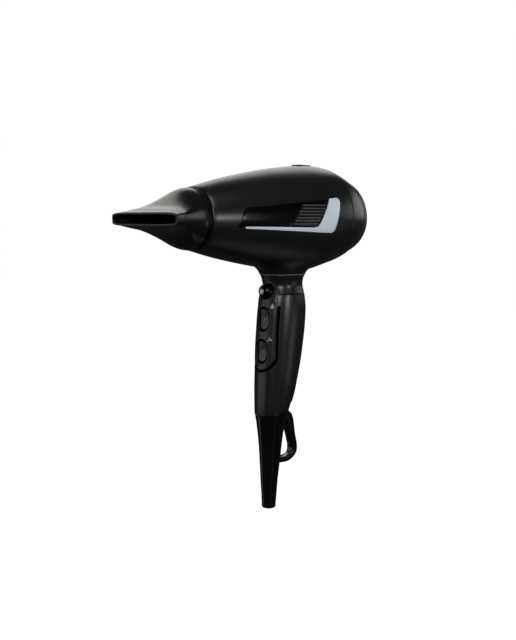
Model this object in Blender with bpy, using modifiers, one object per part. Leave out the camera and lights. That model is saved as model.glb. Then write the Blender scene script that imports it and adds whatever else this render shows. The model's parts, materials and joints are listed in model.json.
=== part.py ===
"""Full-size hand-held hair dryer with a slot nozzle, as separate named pieces.

Lengths are given in millimetres in the barrel frame and turned into metres by the helpers that build
meshes. The barrel frame has its origin on the barrel axis at the housing's front edge. +Y runs to the rear
(air leaves towards -Y), +X is the dryer's left side and +Z is up.
"""

import math

import bmesh
import bpy
from mathutils import Matrix, Vector

MM = 0.001
WELD = 1e-6
ORIGIN_Y = -100.0
ORIGIN_Z = 120.0

# Barrel
BARREL_RADII = [
    (0.0, 25.3),
    (25.0, 31.4),
    (50.0, 36.4),
    (80.0, 41.4),
    (105.0, 44.4),
    (125.0, 46.0),
    (145.0, 45.7),
    (160.0, 42.4),
    (172.0, 37.6),
    (179.0, 35.1),
    (182.0, 31.3),
]
HOUSING_STATIONS = (0.0, 8.0, 18.0, 30.0, 45.0, 62.0, 80.0, 98.0, 114.0, 130.0, 146.0)
COVER_STATIONS = (146.3, 152.0, 158.0, 164.0, 171.0)
BARREL_STEPS = 40
TUCK_START = 118.0
TUCK_END = 150.0
TUCK_SHARE = 0.1
WALL = 2.3
GAP = 0.3
PANEL_THICKNESS = 1.2
POCKET_DEPTH = 1.55

# Handle: height, centre along Y, half width along X, half depth along Y
HANDLE_SECTIONS = [
    (-30.0, 105.6, 29.5, 36.5),
    (-36.0, 105.6, 26.6, 33.0),
    (-40.0, 105.6, 23.5, 28.4),
    (-43.0, 105.6, 20.8, 24.6),
    (-47.0, 105.6, 18.1, 20.8),
    (-50.0, 105.6, 16.8, 19.3),
    (-53.0, 105.6, 15.9, 18.5),
    (-57.0, 105.8, 15.5, 18.3),
    (-61.0, 105.6, 16.2, 19.4),
    (-64.3, 105.3, 16.9, 20.8),
    (-68.0, 105.1, 17.3, 21.8),
    (-74.0, 105.1, 17.8, 22.6),
    (-81.0, 104.6, 18.0, 23.2),
    (-95.0, 103.3, 18.0, 23.3),
    (-109.0, 101.6, 17.5, 23.0),
    (-123.0, 100.0, 17.0, 22.1),
    (-137.0, 97.8, 16.5, 20.5),
    (-151.0, 95.7, 15.5, 18.9),
    (-164.0, 93.1, 14.0, 16.5),
    (-171.0, 91.9, 13.0, 14.3),
    (-178.0, 90.9, 11.9, 12.3),
    (-192.0, 90.4, 10.2, 10.3),
    (-214.0, 89.6, 8.4, 8.4),
    (-228.0, 88.9, 7.3, 7.3),
    (-242.0, 88.7, 6.4, 6.4),
    (-252.0, 88.4, 5.8, 5.8),
]
HANDLE_COUNT = 24
HANDLE_POWER = 2.2
HANDLE_WALL = 2.2
NECK_TOP = -47.0
COLLAR_BOTTOM = -64.0
PLUG_TOP = -158.0
SEAM_Z = -166.0
SEAM_SLOPE = 0.2
GUARD_BOTTOM = -252.0

# Control panel on the front of the handle
PANEL_HALF_WIDTH = 10.8
PANEL_TOP = -53.0
PANEL_BOTTOM = -128.5
BUTTON_Z = -61.6
BUTTON_RADIUS = 6.6
HEAT_Z = -85.3
SPEED_Z = -112.8
ROCKER_HALF_WIDTH = 5.0
ROCKER_HALF_LENGTH = 9.3
ROCKER_DEPTH = 4.8
ROCKER_SINK = 1.0
ROCKER_MARGIN = 1.3
GROOVE_WIDTH = 1.7
GROOVE_DEPTH = 1.3
GROOVE_TOP = -76.0
PIVOT_DEPTH = 4.0
BOARD_SCREWS = ((-99.0, "upper"), (-127.0, "lower"))

# Nozzle: distance along Y, half width along X, half height along Z
NOZZLE_SECTIONS = [
    (-4.5, 24.4, 24.4, 2.0),
    (-9.0, 24.6, 24.0, 2.0),
    (-14.0, 25.6, 22.2, 2.05),
    (-20.0, 27.3, 18.5, 2.15),
    (-27.0, 29.8, 14.0, 2.4),
    (-34.0, 32.6, 10.0, 2.9),
    (-41.0, 35.6, 7.6, 3.8),
    (-46.0, 37.3, 5.7, 5.0),
    (-49.0, 38.0, 5.1, 6.0),
]
NOZZLE_COUNT = 32
NOZZLE_WALL = 1.7

# Side panel, trim and louvres, as (distance along Y, height along Z)
TRIM_INNER = [(101.8, -6.2), (103.7, -4.5), (106.5, 0.0), (109.8, 5.6), (113.5, 10.8), (117.4, 16.9)]
TRIM_OUTLINE = [
    (28.2, -5.9),
    (61.0, -6.4),
    (97.9, -7.1),
    *TRIM_INNER,
    (126.3, 17.8),
    (128.6, 16.8),
    (129.3, 14.1),
    (125.7, 5.6),
    (122.3, -4.0),
    (119.1, -9.8),
    (116.0, -11.6),
    (112.0, -11.5),
    (61.0, -9.0),
    (28.3, -7.5),
]
PANEL_OUTLINE = [
    (20.5, -6.4),
    (27.5, 6.6),
    (30.0, 8.6),
    (60.0, 11.1),
    (90.0, 13.8),
    (116.5, 16.2),
    (113.0, 10.8),
    (109.4, 5.6),
    (106.1, 0.1),
    (103.3, -4.3),
    (101.4, -5.8),
    (97.8, -6.7),
    (61.0, -6.0),
    (28.1, -5.5),
    (27.4, -6.2),
]
POCKET_OUTLINE = [
    (19.9, -6.8),
    (27.2, 7.0),
    (29.9, 9.0),
    (60.0, 11.5),
    (90.0, 14.2),
    (116.6, 16.9),
    (117.2, 17.3),
    (126.4, 18.2),
    (128.9, 17.1),
    (129.7, 14.1),
    (126.1, 5.5),
    (122.7, -4.1),
    (119.4, -10.1),
    (116.1, -12.0),
    (112.0, -11.9),
    (61.0, -9.4),
    (28.0, -7.9),
    (27.5, -6.9),
]
WINDOW_OUTLINE = [(73.5, -5.3), (84.5, 12.7), (112.8, 12.7), (108.2, 6.0), (104.6, 0.2), (101.4, -5.3)]
PLATE_OUTLINE = [(74.2, -5.0), (84.8, 12.35), (112.1, 12.35), (107.8, 6.1), (104.2, 0.3), (101.1, -5.0)]
LOUVRE_COUNT = 7
LOUVRE_TOP_Z = 11.2
LOUVRE_PITCH = 2.55
LOUVRE_HEIGHT = 1.1
LOUVRE_FIRST_START = 85.6
LOUVRE_SLANT = 0.7

# Hanging loop behind the cord guard, as (distance along Y, height along Z)
LOOP_OUTER = [
    (98.0, -163.5),
    (110.5, -168.5),
    (116.4, -175.0),
    (119.4, -190.0),
    (122.2, -202.0),
    (120.5, -209.0),
    (112.4, -213.8),
    (103.0, -214.2),
    (92.0, -212.5),
]
LOOP_INNER = [
    (92.0, -207.5),
    (103.8, -209.0),
    (113.5, -208.4),
    (116.0, -203.0),
    (113.6, -193.0),
    (110.3, -184.0),
    (106.5, -177.0),
    (98.0, -176.0),
]
LOOP_HALF_WIDTH = 3.6
SLOT_HALF = 1.0

# Drive and heater
SHROUD_RADIUS = 36.0
SHROUD_INNER = 34.5
SHROUD_FRONT = 86.0
SHROUD_REAR = 137.0
BLADE_COUNT = 9
VANE_COUNT = 7
BLADE_PITCH = 42.0
VANE_PITCH = -15.0
COIL_RADIUS = 16.8
COIL_WIRE = 0.7
COIL_PITCH = 6.0
COIL_TURNS = 4
COIL_POINTS = 11
SPRING_RADIUS = 2.6
SPRING_WIRE = 0.35
SPRING_TURNS = 5
SPRING_START = 88.6
SPRING_END = 98.2
SPRING_POINTS = 7

parts = None
cutters = None
barrel_axis = None


# Scene set-up and materials


def clear_scene():
    for obj in list(bpy.data.objects):
        bpy.data.objects.remove(obj, do_unlink=True)


def new_collection(name):
    collection = bpy.data.collections.new(name)
    bpy.context.scene.collection.children.link(collection)
    return collection


def make_material(name, colour, roughness, metallic=0.0):
    material = bpy.data.materials.new(name)
    material.use_nodes = True
    shader = material.node_tree.nodes["Principled BSDF"]
    shader.inputs["Base Color"].default_value = (*colour, 1.0)
    shader.inputs["Roughness"].default_value = roughness
    shader.inputs["Metallic"].default_value = metallic
    return material


def shade(mesh, angle=35.0):
    for face in mesh.polygons:
        face.use_smooth = True
    mesh.set_sharp_from_angle(angle=math.radians(angle))


def place(obj, origin=(0.0, 0.0, 0.0)):
    """Puts an object in the parts collection at a point of the barrel frame."""
    parts.objects.link(obj)
    obj.parent = barrel_axis
    obj.location = Vector(origin) * MM
    return obj


def as_cutter(obj):
    """Moves an object to the cutters, where it is a tool and not a piece."""
    parts.objects.unlink(obj)
    cutters.objects.link(obj)
    obj.hide_render = True
    obj.display_type = "WIRE"
    return obj


def boolean(obj, tool, operation):
    modifier = obj.modifiers.new(f"{operation.title()} {tool.name}", "BOOLEAN")
    modifier.operation = operation
    modifier.solver = "EXACT"
    modifier.object = tool
    if not tool.hide_render:
        as_cutter(tool)
    return obj


def cut(obj, tool):
    return boolean(obj, tool, "DIFFERENCE")


def join(obj, tool):
    return boolean(obj, tool, "UNION")


def keep_inside(obj, tool):
    return boolean(obj, tool, "INTERSECT")


# Interpolation


def interpolate(table, at):
    """Smooth curve through (position, value, ...) rows with rising or falling positions."""
    rows = sorted(table)
    positions = [row[0] for row in rows]
    at = min(max(at, positions[0]), positions[-1])
    index = 0
    while index < len(rows) - 2 and at > positions[index + 1]:
        index += 1
    span = positions[index + 1] - positions[index]
    t = (at - positions[index]) / span
    result = []
    for column in range(1, len(rows[0])):
        before = slope(rows, index, column) * span
        after = slope(rows, index + 1, column) * span
        start = rows[index][column]
        end = rows[index + 1][column]
        result.append(
            (2 * t**3 - 3 * t**2 + 1) * start
            + (t**3 - 2 * t**2 + t) * before
            + (3 * t**2 - 2 * t**3) * end
            + (t**3 - t**2) * after
        )
    return result


def slope(rows, index, column):
    low = max(index - 1, 0)
    high = min(index + 1, len(rows) - 1)
    return (rows[high][column] - rows[low][column]) / (rows[high][0] - rows[low][0])


def barrel_radius(along):
    return interpolate(BARREL_RADII, along)[0]


def handle_section(height):
    return interpolate(HANDLE_SECTIONS, height)


# Shape builders


def mesh_object(name, points, faces, material, origin=(0.0, 0.0, 0.0)):
    """Mesh from points in the barrel frame, with its origin at a given point of that frame."""
    mesh = bpy.data.meshes.new(name)
    shift = Vector(origin)
    mesh.from_pydata([(Vector(p) - shift) * MM for p in points], [], faces)
    work = bmesh.new()
    work.from_mesh(mesh)
    bmesh.ops.recalc_face_normals(work, faces=work.faces)
    work.to_mesh(mesh)
    work.free()
    mesh.materials.append(material)
    shade(mesh)
    return place(bpy.data.objects.new(name, mesh), origin)


def loft(name, rings, material, closed=False, origin=(0.0, 0.0, 0.0)):
    """Skin through rings of equal count. A closed loft joins the last ring to the first, as in a tube wall."""
    count = len(rings[0])
    points = [point for ring in rings for point in ring]
    faces = []
    for i in range(len(rings) if closed else len(rings) - 1):
        j = (i + 1) % len(rings)
        for k in range(count):
            n = (k + 1) % count
            faces.append((i * count + k, i * count + n, j * count + n, j * count + k))
    if not closed:
        faces.append(tuple(range(count)))
        faces.append(tuple((len(rings) - 1) * count + k for k in range(count)))
    return mesh_object(name, points, faces, material, origin)


def superellipse(half_a, half_b, power, count):
    """Points of a rounded outline between an ellipse (power 2) and a rectangle (high power)."""
    points = []
    for k in range(count):
        turn = 2 * math.pi * k / count
        c = math.cos(turn)
        s = math.sin(turn)
        a = half_a * math.copysign(abs(c) ** (2 / power), c)
        b = half_b * math.copysign(abs(s) ** (2 / power), s)
        points.append((a, b))
    return points


def handle_ring(height, inset=0.0, tilt=0.0):
    centre, half_x, half_y = handle_section(height)
    outline = superellipse(half_x - inset, half_y - inset, HANDLE_POWER, HANDLE_COUNT)
    return [(x, centre + y, height + tilt * y) for x, y in outline]


def nozzle_ring(row, inset=0.0):
    along, half_x, half_z, power = row
    outline = superellipse(half_x - inset, half_z - inset, power, NOZZLE_COUNT)
    return [(x, along, z) for x, z in outline]


def turned(name, profile, material, steps=32, origin=(0.0, 0.0, 0.0), along="Y"):
    """Solid of revolution from (radius, distance) points, about an axis through the origin given.

    A profile that starts and ends at radius 0 makes a solid, any other makes a ring.
    """
    solid = profile[0][0] == 0.0 and profile[-1][0] == 0.0
    area = sum(
        a[0] * b[1] - b[0] * a[1] for a, b in zip(profile, profile[1:] + profile[:1], strict=True)
    )
    if area > 0:
        profile = profile[::-1]
    edges = [(i, i + 1) for i in range(len(profile) - 1)]
    if not solid:
        edges.append((len(profile) - 1, 0))
    mesh = bpy.data.meshes.new(name)
    mesh.from_pydata([(r * MM, 0.0, z * MM) for r, z in profile], edges, [])
    mesh.materials.append(material)
    obj = place(bpy.data.objects.new(name, mesh), origin)
    if along == "Y":
        obj.rotation_euler = (math.radians(-90.0), 0.0, 0.0)
    screw = obj.modifiers.new("Screw", "SCREW")
    screw.axis = "Z"
    screw.steps = steps
    screw.render_steps = steps
    screw.use_merge_vertices = True
    screw.merge_threshold = WELD
    bake(obj)
    shade(obj.data)
    return obj


def bake(obj):
    """Replaces an object's data with the mesh that its modifiers make."""
    bpy.context.view_layer.update()
    graph = bpy.context.evaluated_depsgraph_get()
    mesh = bpy.data.meshes.new_from_object(obj.evaluated_get(graph))
    obj.modifiers.clear()
    obj.data = mesh
    return obj


def tuck(obj):
    """Raises the barrel's underside towards the rear, behind the handle."""
    turn = obj.matrix_basis.copy()
    for vertex in obj.data.vertices:
        point = turn @ vertex.co
        share = (point.y / MM - TUCK_START) / (TUCK_END - TUCK_START)
        share = min(max(share, 0.0), 1.0)
        if point.z < 0:
            point.z *= 1 - TUCK_SHARE * share**2 * (3 - 2 * share)
        vertex.co = turn.inverted() @ point
    return obj


def prism(name, outline, axis, start, end, material, origin=(0.0, 0.0, 0.0)):
    """Straight prism from a flat outline: (y, z) points swept along X, or (x, z) points swept along Y."""
    curve = bpy.data.curves.new(name, "CURVE")
    curve.dimensions = "2D"
    curve.fill_mode = "BOTH"
    curve.extrude = abs(end - start) / 2 * MM
    spline = curve.splines.new("POLY")
    spline.points.add(len(outline) - 1)
    for slot, (a, b) in zip(spline.points, outline, strict=True):
        slot.co = (a * MM, b * MM, 0.0, 1.0)
    spline.use_cyclic_u = True
    middle = (start + end) / 2 * MM
    if axis == "X":
        turn = Matrix(((0, 0, 1, middle), (1, 0, 0, 0), (0, 1, 0, 0), (0, 0, 0, 1)))
    else:
        turn = Matrix(((1, 0, 0, 0), (0, 0, -1, middle), (0, 1, 0, 0), (0, 0, 0, 1)))
    return solid_from_curve(name, curve, material, turn, origin)


def solid_from_curve(name, curve, material, turn, origin=(0.0, 0.0, 0.0)):
    """Closed mesh of a curve, with its caps welded, turned into the barrel frame."""
    helper = bpy.data.objects.new(f"{name}_path", curve)
    bpy.context.scene.collection.objects.link(helper)
    bpy.context.view_layer.update()
    graph = bpy.context.evaluated_depsgraph_get()
    mesh = bpy.data.meshes.new_from_object(helper.evaluated_get(graph))
    bpy.data.objects.remove(helper, do_unlink=True)
    work = bmesh.new()
    work.from_mesh(mesh)
    bmesh.ops.remove_doubles(work, verts=work.verts, dist=WELD)
    bmesh.ops.transform(work, verts=work.verts, matrix=Matrix.Translation(-Vector(origin) * MM) @ turn)
    bmesh.ops.recalc_face_normals(work, faces=work.faces)
    work.to_mesh(mesh)
    work.free()
    mesh.materials.clear()
    mesh.materials.append(material)
    shade(mesh)
    return place(bpy.data.objects.new(name, mesh), origin)


def box_matrix(low, high, pitch=0.0):
    """Unit cube to the box between two corners, pitched about its own long axis along X."""
    size = Vector(high) - Vector(low)
    centre = (Vector(high) + Vector(low)) / 2
    turn = Matrix.Rotation(math.radians(pitch), 4, "X")
    return Matrix.Translation(centre * MM) @ turn @ Matrix.Diagonal((*(size * MM), 1.0))


def boxes(name, matrices, material):
    """Boxes in one object, each one a unit cube placed by a matrix."""
    mesh = bpy.data.meshes.new(name)
    work = bmesh.new()
    for matrix in matrices:
        bmesh.ops.create_cube(work, size=1.0, matrix=matrix)
    work.to_mesh(mesh)
    work.free()
    mesh.materials.append(material)
    return place(bpy.data.objects.new(name, mesh))


def block(name, low, high, material):
    return boxes(name, [box_matrix(low, high)], material)


def boxes_round(name, low, high, count, material, first=0.0, pitch=0.0):
    """Copies of a box set evenly round the barrel axis, to be joined or cut with in one go."""
    base = box_matrix(low, high, pitch)
    step = math.radians(360.0 / count)
    turns = [Matrix.Rotation(math.radians(first) + step * i, 4, "Y") for i in range(count)]
    return boxes(name, [turn @ base for turn in turns], material)


def capsule(half_width, half_length, centre_z, points=10):
    """Upright capsule outline as (x, z) points."""
    straight = half_length - half_width
    outline = []
    for k in range(points + 1):
        turn = math.pi * k / points
        outline.append((half_width * math.cos(turn), centre_z + straight + half_width * math.sin(turn)))
    for k in range(points + 1):
        turn = math.pi + math.pi * k / points
        outline.append((half_width * math.cos(turn), centre_z - straight + half_width * math.sin(turn)))
    return outline


def tube_curve(name, points, radius, material, cyclic=False):
    """Round wire through points of the barrel frame."""
    curve = bpy.data.curves.new(name, "CURVE")
    curve.dimensions = "3D"
    curve.bevel_depth = radius * MM
    curve.bevel_resolution = 1
    curve.use_fill_caps = not cyclic
    spline = curve.splines.new("POLY")
    spline.points.add(len(points) - 1)
    for slot, point in zip(spline.points, points, strict=True):
        slot.co = (*(Vector(point) * MM), 1.0)
    spline.use_cyclic_u = cyclic
    return solid_from_curve(name, curve, material, Matrix.Identity(4))


def helix(radius, start, pitch, turns, per_turn, centre=(0.0, 0.0)):
    """Points of a coil about an axis parallel to Y."""
    points = []
    for k in range(turns * per_turn + 1):
        turn = 2 * math.pi * k / per_turn
        x = centre[0] + radius * math.cos(turn)
        z = centre[1] + radius * math.sin(turn)
        points.append((x, start + pitch * k / per_turn, z))
    return points


# Housing


def barrel_layer(name, stations, inner, outer, material):
    """Ring-shaped layer that follows the barrel, between two offsets from its outer surface."""
    profile = [(barrel_radius(a) + outer, a) for a in stations]
    profile += [(barrel_radius(a) + inner, a) for a in reversed(stations)]
    return turned(name, profile, material, BARREL_STEPS)


def side_prism(name, outline, side, material):
    return prism(name, outline, "X", 10.0 * side, 60.0 * side, material)


def louvre_bars(name, margin, side, material):
    """The bars as boxes across the wall, each one reaching further back towards the top."""
    matrices = []
    for i in range(LOUVRE_COUNT):
        z = LOUVRE_TOP_Z - LOUVRE_PITCH * i
        start = LOUVRE_FIRST_START + LOUVRE_SLANT * (z - LOUVRE_TOP_Z) - margin
        end = interpolate([(b, a) for a, b in TRIM_INNER], z)[0] - 2.9 + margin
        half = LOUVRE_HEIGHT / 2 + margin
        low = (min(10.0 * side, 60.0 * side), start, z - half)
        high = (max(10.0 * side, 60.0 * side), end, z + half)
        matrices.append(box_matrix(low, high))
    return boxes(name, matrices, material)


def build_housing(look):
    profile = [(0.0, HOUSING_STATIONS[0])]
    profile += [(barrel_radius(a), a) for a in HOUSING_STATIONS]
    profile.append((0.0, HOUSING_STATIONS[-1]))
    housing = tuck(turned("housing", profile, look["satin"], BARREL_STEPS))
    flare = loft(
        "neck_flare",
        [handle_ring(z) for z in (-30.0, -36.0, -40.0, -43.0, NECK_TOP)],
        look["satin"],
    )
    join(housing, flare)
    hollow_profile = [(0.0, -1.0), (barrel_radius(0.0) - WALL, -1.0)]
    hollow_profile += [(barrel_radius(a) - WALL, a) for a in HOUSING_STATIONS]
    hollow_profile += [(barrel_radius(146.0) - WALL, 147.0), (0.0, 147.0)]
    cut(housing, tuck(turned("housing_hollow", hollow_profile, look["satin"], BARREL_STEPS)))
    neck_rings = [handle_ring(z, WALL) for z in (-34.0, -36.0, -40.0, -43.0, NECK_TOP)]
    neck_rings.append([(x, y, NECK_TOP - 2.0) for x, y, z in handle_ring(NECK_TOP, WALL)])
    cut(housing, loft("neck_hollow", neck_rings, look["satin"]))
    for side, word in ((1.0, "left"), (-1.0, "right")):
        pocket = barrel_layer(f"pocket_{word}", HOUSING_STATIONS[1:], -POCKET_DEPTH, 3.0, look["satin"])
        keep_inside(pocket, side_prism(f"pocket_outline_{word}", POCKET_OUTLINE, side, look["satin"]))
        cut(housing, pocket)
        cut(housing, side_prism(f"louvre_window_{word}", WINDOW_OUTLINE, side, look["satin"]))
    cut(housing, block("lens_pocket", (-4.8, 120.7, 44.75), (4.8, 138.3, 50.0), look["satin"]))
    return housing


def build_side_trim(look):
    for side, word in ((1.0, "left"), (-1.0, "right")):
        panel = barrel_layer(
            f"side_panel_{word}", HOUSING_STATIONS[1:], -PANEL_THICKNESS, 0.0, look["gloss"]
        )
        keep_inside(panel, side_prism(f"panel_outline_{word}", PANEL_OUTLINE, side, look["gloss"]))
        cut(panel, louvre_bars(f"louvre_slots_{word}", GAP, side, look["gloss"]))
        trim = barrel_layer(
            f"side_trim_{word}", HOUSING_STATIONS[1:], -PANEL_THICKNESS, 0.5, look["silver"]
        )
        keep_inside(trim, side_prism(f"trim_outline_{word}", TRIM_OUTLINE, side, look["silver"]))
        bars = barrel_layer(f"side_louvre_{word}", HOUSING_STATIONS[4:], -2.2, 0.35, look["grey"])
        keep_inside(bars, louvre_bars(f"louvre_bars_{word}", 0.0, side, look["grey"]))
        plate = barrel_layer(f"louvre_plate_{word}", HOUSING_STATIONS[4:], -2.6, -1.5, look["grey"])
        keep_inside(plate, side_prism(f"plate_outline_{word}", PLATE_OUTLINE, side, look["grey"]))
        join(bars, plate)


def build_rear(look):
    outer = [(barrel_radius(a), a) for a in COVER_STATIONS]
    lip = [(33.6, 171.0), (33.6, 168.6)]
    inner = [(36.6, 168.6), (39.0, 162.0), (41.0, 156.0), (41.6, 148.0), (41.6, 142.0)]
    spigot = [(43.1, 142.0), (43.1, 146.3)]
    tuck(turned("rear_cover", outer + lip + inner + spigot, look["satin"], BARREL_STEPS))

    rim = [(33.2, 166.0), (33.2, 171.3), (37.5, 171.3), (35.1, 179.0), (33.9, 180.8), (31.3, 182.0)]
    face = [(0.0, 182.0), (0.0, 180.0), (30.6, 180.0), (31.7, 178.4), (31.7, 166.0)]
    grille_profile = face[1:] + rim + face[:1]
    grille = turned("rear_grille", grille_profile, look["dark"], 36)
    for name, inner, outer, count in (("outer", 18.5, 29.0, 18), ("inner", 7.0, 15.5, 9)):
        low = (inner, 178.0, -SLOT_HALF)
        high = (outer, 184.0, SLOT_HALF)
        cut(grille, boxes_round(f"grille_slots_{name}", low, high, count, look["dark"]))
    tuck(bake(grille))
    filter_profile = [(0.0, 177.0), (31.4, 177.0), (31.4, 174.5), (29.9, 174.5), (29.9, 176.2), (0.0, 176.2)]
    tuck(turned("dust_filter", filter_profile, look["mesh"], 32))


def build_front(look):
    ring = [(20.8, -4.2), (24.7, -4.2), (24.7, -0.3), (22.6, -0.3), (22.6, 9.0), (20.8, 9.0)]
    turned("outlet_ring", ring, look["dark"], 32)

    grille = turned(
        "outlet_grille", [(23.0, 9.4), (24.4, 9.4), (24.4, 12.4), (23.0, 12.4)], look["metal"], 24
    )
    for radius in (16.0, 9.0):
        hoop = turned(
            f"grille_hoop_{int(radius)}",
            [(radius, 9.8), (radius + 1.4, 9.8), (radius + 1.4, 12.0), (radius, 12.0)],
            look["metal"],
            16,
        )
        join(grille, hoop)
    spokes = boxes_round("grille_spokes", (1.0, 10.2, -0.6), (23.7, 11.6, 0.6), 4, look["metal"], 45.0)
    join(grille, spokes)
    join(grille, turned("grille_hub", [(0.0, 9.9), (3.0, 9.9), (3.0, 11.9), (0.0, 11.9)], look["metal"], 12))


def build_nozzle(look):
    collar = [(19.0, -9.0), (21.9, -9.0), (21.9, -4.8), (20.4, -4.6), (20.4, 7.0), (19.0, 7.0)]
    turned("nozzle_collar", collar, look["black"], 32)
    outer = [nozzle_ring(row) for row in NOZZLE_SECTIONS]
    inner = [nozzle_ring(row, NOZZLE_WALL) for row in NOZZLE_SECTIONS]
    loft("nozzle", outer + inner[::-1], look["nozzle"], closed=True)


def build_indicator(look):
    outline = [(-3.6, 45.1), (3.6, 45.1), (4.4, 45.9), (3.9, 46.9), (-3.9, 46.9), (-4.4, 45.9)]
    prism("indicator_lens", outline, "Y", 121.1, 137.9, look["lens"])


# Handle and controls


def front_of_handle(height):
    centre, _, half_y = handle_section(height)
    return centre - half_y


def panel_outline(margin):
    half_length = (PANEL_TOP - PANEL_BOTTOM) / 2 + margin
    return capsule(PANEL_HALF_WIDTH + margin, half_length, (PANEL_TOP + PANEL_BOTTOM) / 2)


def panel_prism(name, margin, material):
    return prism(name, panel_outline(margin), "Y", 60.0, 100.0, material)


def heights(top, bottom):
    """The section heights strictly between two limits, with the limits themselves."""
    inner = [row[0] for row in HANDLE_SECTIONS if bottom < row[0] < top]
    return [top, *inner, bottom]


def build_neck_collar(look):
    levels = heights(NECK_TOP - GAP, COLLAR_BOTTOM)
    outer = [handle_ring(z, -0.15) for z in levels]
    inner = [handle_ring(z, HANDLE_WALL) for z in levels]
    collar = loft("neck_collar", outer + inner[::-1], look["gloss"], closed=True)
    cut(collar, panel_prism("collar_front_cut", 0.4, look["gloss"]))


def groove_cutter(look):
    """Shallow channel in the grip beside and below the control panel."""
    levels = heights(GROOVE_TOP, PANEL_BOTTOM - 2 * GROOVE_WIDTH)
    outer = [handle_ring(z, -1.0) for z in levels]
    inner = [handle_ring(z, GROOVE_DEPTH) for z in levels]
    channel = loft("groove_channel", outer + inner[::-1], look["satin"], closed=True)
    return keep_inside(channel, panel_prism("groove_outline", GROOVE_WIDTH, look["satin"]))


def build_handle(look):
    top = COLLAR_BOTTOM - GAP
    levels = heights(top, PLUG_TOP)
    seam = handle_ring(SEAM_Z + GAP, 0.0, SEAM_SLOPE)
    outer = [handle_ring(z) for z in levels] + [seam]
    sleeve_levels = [-44.5, -50.0, -57.0, top]
    sleeve = [handle_ring(z, HANDLE_WALL + 0.8) for z in sleeve_levels]
    sleeve_inner = [handle_ring(z, HANDLE_WALL + 2.4) for z in [*sleeve_levels, -68.0]]
    inner_levels = [z for z in levels if z < -70.0]
    inner = [handle_ring(z, HANDLE_WALL) for z in inner_levels]
    seam_inner = handle_ring(SEAM_Z + GAP, HANDLE_WALL, SEAM_SLOPE)
    rings = outer[::-1] + sleeve[::-1] + sleeve_inner + inner + [seam_inner]
    handle = loft("handle_shell", rings, look["satin"], closed=True)
    cut(handle, panel_prism("handle_front_cut", 0.4, look["satin"]))
    cut(handle, groove_cutter(look))
    for z, word in BOARD_SCREWS:
        centre, _, half_y = handle_section(z)
        rear = centre + half_y - 1.0
        post = [(0.0, 99.2), (2.8, 99.2), (2.8, rear), (0.0, rear)]
        join(handle, turned(f"board_post_{word}", post, look["satin"], 12, (0.0, 0.0, z)))
        bore = [(0.0, 98.0), (1.4, 98.0), (1.4, 110.0), (0.0, 110.0)]
        cut(handle, turned(f"board_post_bore_{word}", bore, look["satin"], 12, (0.0, 0.0, z)))


def build_control_panel(look):
    levels = heights(-49.0, -137.0)
    body = loft("control_panel", [handle_ring(z, -0.2) for z in levels], look["panel"])
    keep_inside(body, panel_prism("control_panel_outline", 0.0, look["panel"]))
    hollow_levels = heights(-47.0, -151.0)
    cut(body, loft("control_panel_hollow", [handle_ring(z, 2.0) for z in hollow_levels], look["panel"]))
    bore = [(0.0, 70.0), (BUTTON_RADIUS + 0.4, 70.0), (BUTTON_RADIUS + 0.4, 96.0), (0.0, 96.0)]
    cut(body, turned("button_bore", bore, look["panel"], 24, (0.0, 0.0, BUTTON_Z)))
    for z, word in ((HEAT_Z, "heat"), (SPEED_Z, "speed")):
        outline = capsule(ROCKER_HALF_WIDTH + ROCKER_MARGIN, ROCKER_HALF_LENGTH + ROCKER_MARGIN, z, 8)
        cut(body, prism(f"{word}_opening", outline, "Y", 60.0, 96.0, look["panel"]))


def build_button(look):
    dome = [(0.0, 78.8), (2.8, 79.2), (4.8, 80.4), (6.1, 82.3), (BUTTON_RADIUS, 84.4)]
    stem = [(BUTTON_RADIUS, 91.7), (7.7, 91.7), (7.7, 93.1), (3.6, 93.1), (3.6, 86.0), (0.0, 86.0)]
    turned("cool_button", dome + stem, look["gloss"], 20, (0.0, 0.0, BUTTON_Z))
    pitch = (SPRING_END - SPRING_START) / SPRING_TURNS
    wire = helix(SPRING_RADIUS, SPRING_START, pitch, SPRING_TURNS, SPRING_POINTS, (0.0, BUTTON_Z))
    tube_curve("button_spring", wire, SPRING_WIRE, look["metal"])
    block("cool_switch", (-6.0, 98.9, -67.8), (6.0, 105.5, -56.5), look["dark"])


def build_rockers(look):
    for z, word in ((HEAT_Z, "heat"), (SPEED_Z, "speed")):
        face = front_of_handle(z)
        pivot = (0.0, face + PIVOT_DEPTH, z)
        outline = capsule(ROCKER_HALF_WIDTH, ROCKER_HALF_LENGTH, z, 8)
        rocker = prism(
            f"{word}_rocker",
            outline,
            "Y",
            face + ROCKER_SINK,
            face + ROCKER_SINK + ROCKER_DEPTH,
            look["rocker"],
            pivot,
        )
        dish_radius = 34.0
        dish_y = face + ROCKER_SINK + 1.1 - dish_radius
        dish = []
        for k in range(21):
            turn = math.radians(-30.0 + 3.0 * k)
            dish.append((dish_y + dish_radius * math.cos(turn), z + dish_radius * math.sin(turn)))
        dish.append((dish_y, z + 30.0))
        dish.append((dish_y, z - 30.0))
        cut(rocker, prism(f"{word}_dish", dish, "X", -8.0, 8.0, look["rocker"]))
        block(f"{word}_switch", (-5.8, face + 8.4, z - 9.0), (5.8, 96.9, z + 9.0), look["dark"])


def build_board(look):
    board = block("circuit_board", (-10.0, 97.2, -131.0), (10.0, 98.8, -75.0), look["board"])
    for z, word in BOARD_SCREWS:
        hole = [(0.0, 95.0), (1.5, 95.0), (1.5, 101.0), (0.0, 101.0)]
        cut(board, turned(f"board_hole_{word}", hole, look["board"], 12, (0.0, 0.0, z)))
    return board


def screw(name, head_start, z, x, direction, material, length=9.0):
    """Pan-head screw along Y with its head at the start and its shank running in the direction given."""
    head = head_start + 1.6 * direction
    tip = head + length * direction
    profile = [(0.0, head_start), (2.3, head_start), (2.6, head), (1.1, head), (1.1, tip), (0.0, tip)]
    turned(name, profile, material, 12, (x, 0.0, z))


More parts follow.
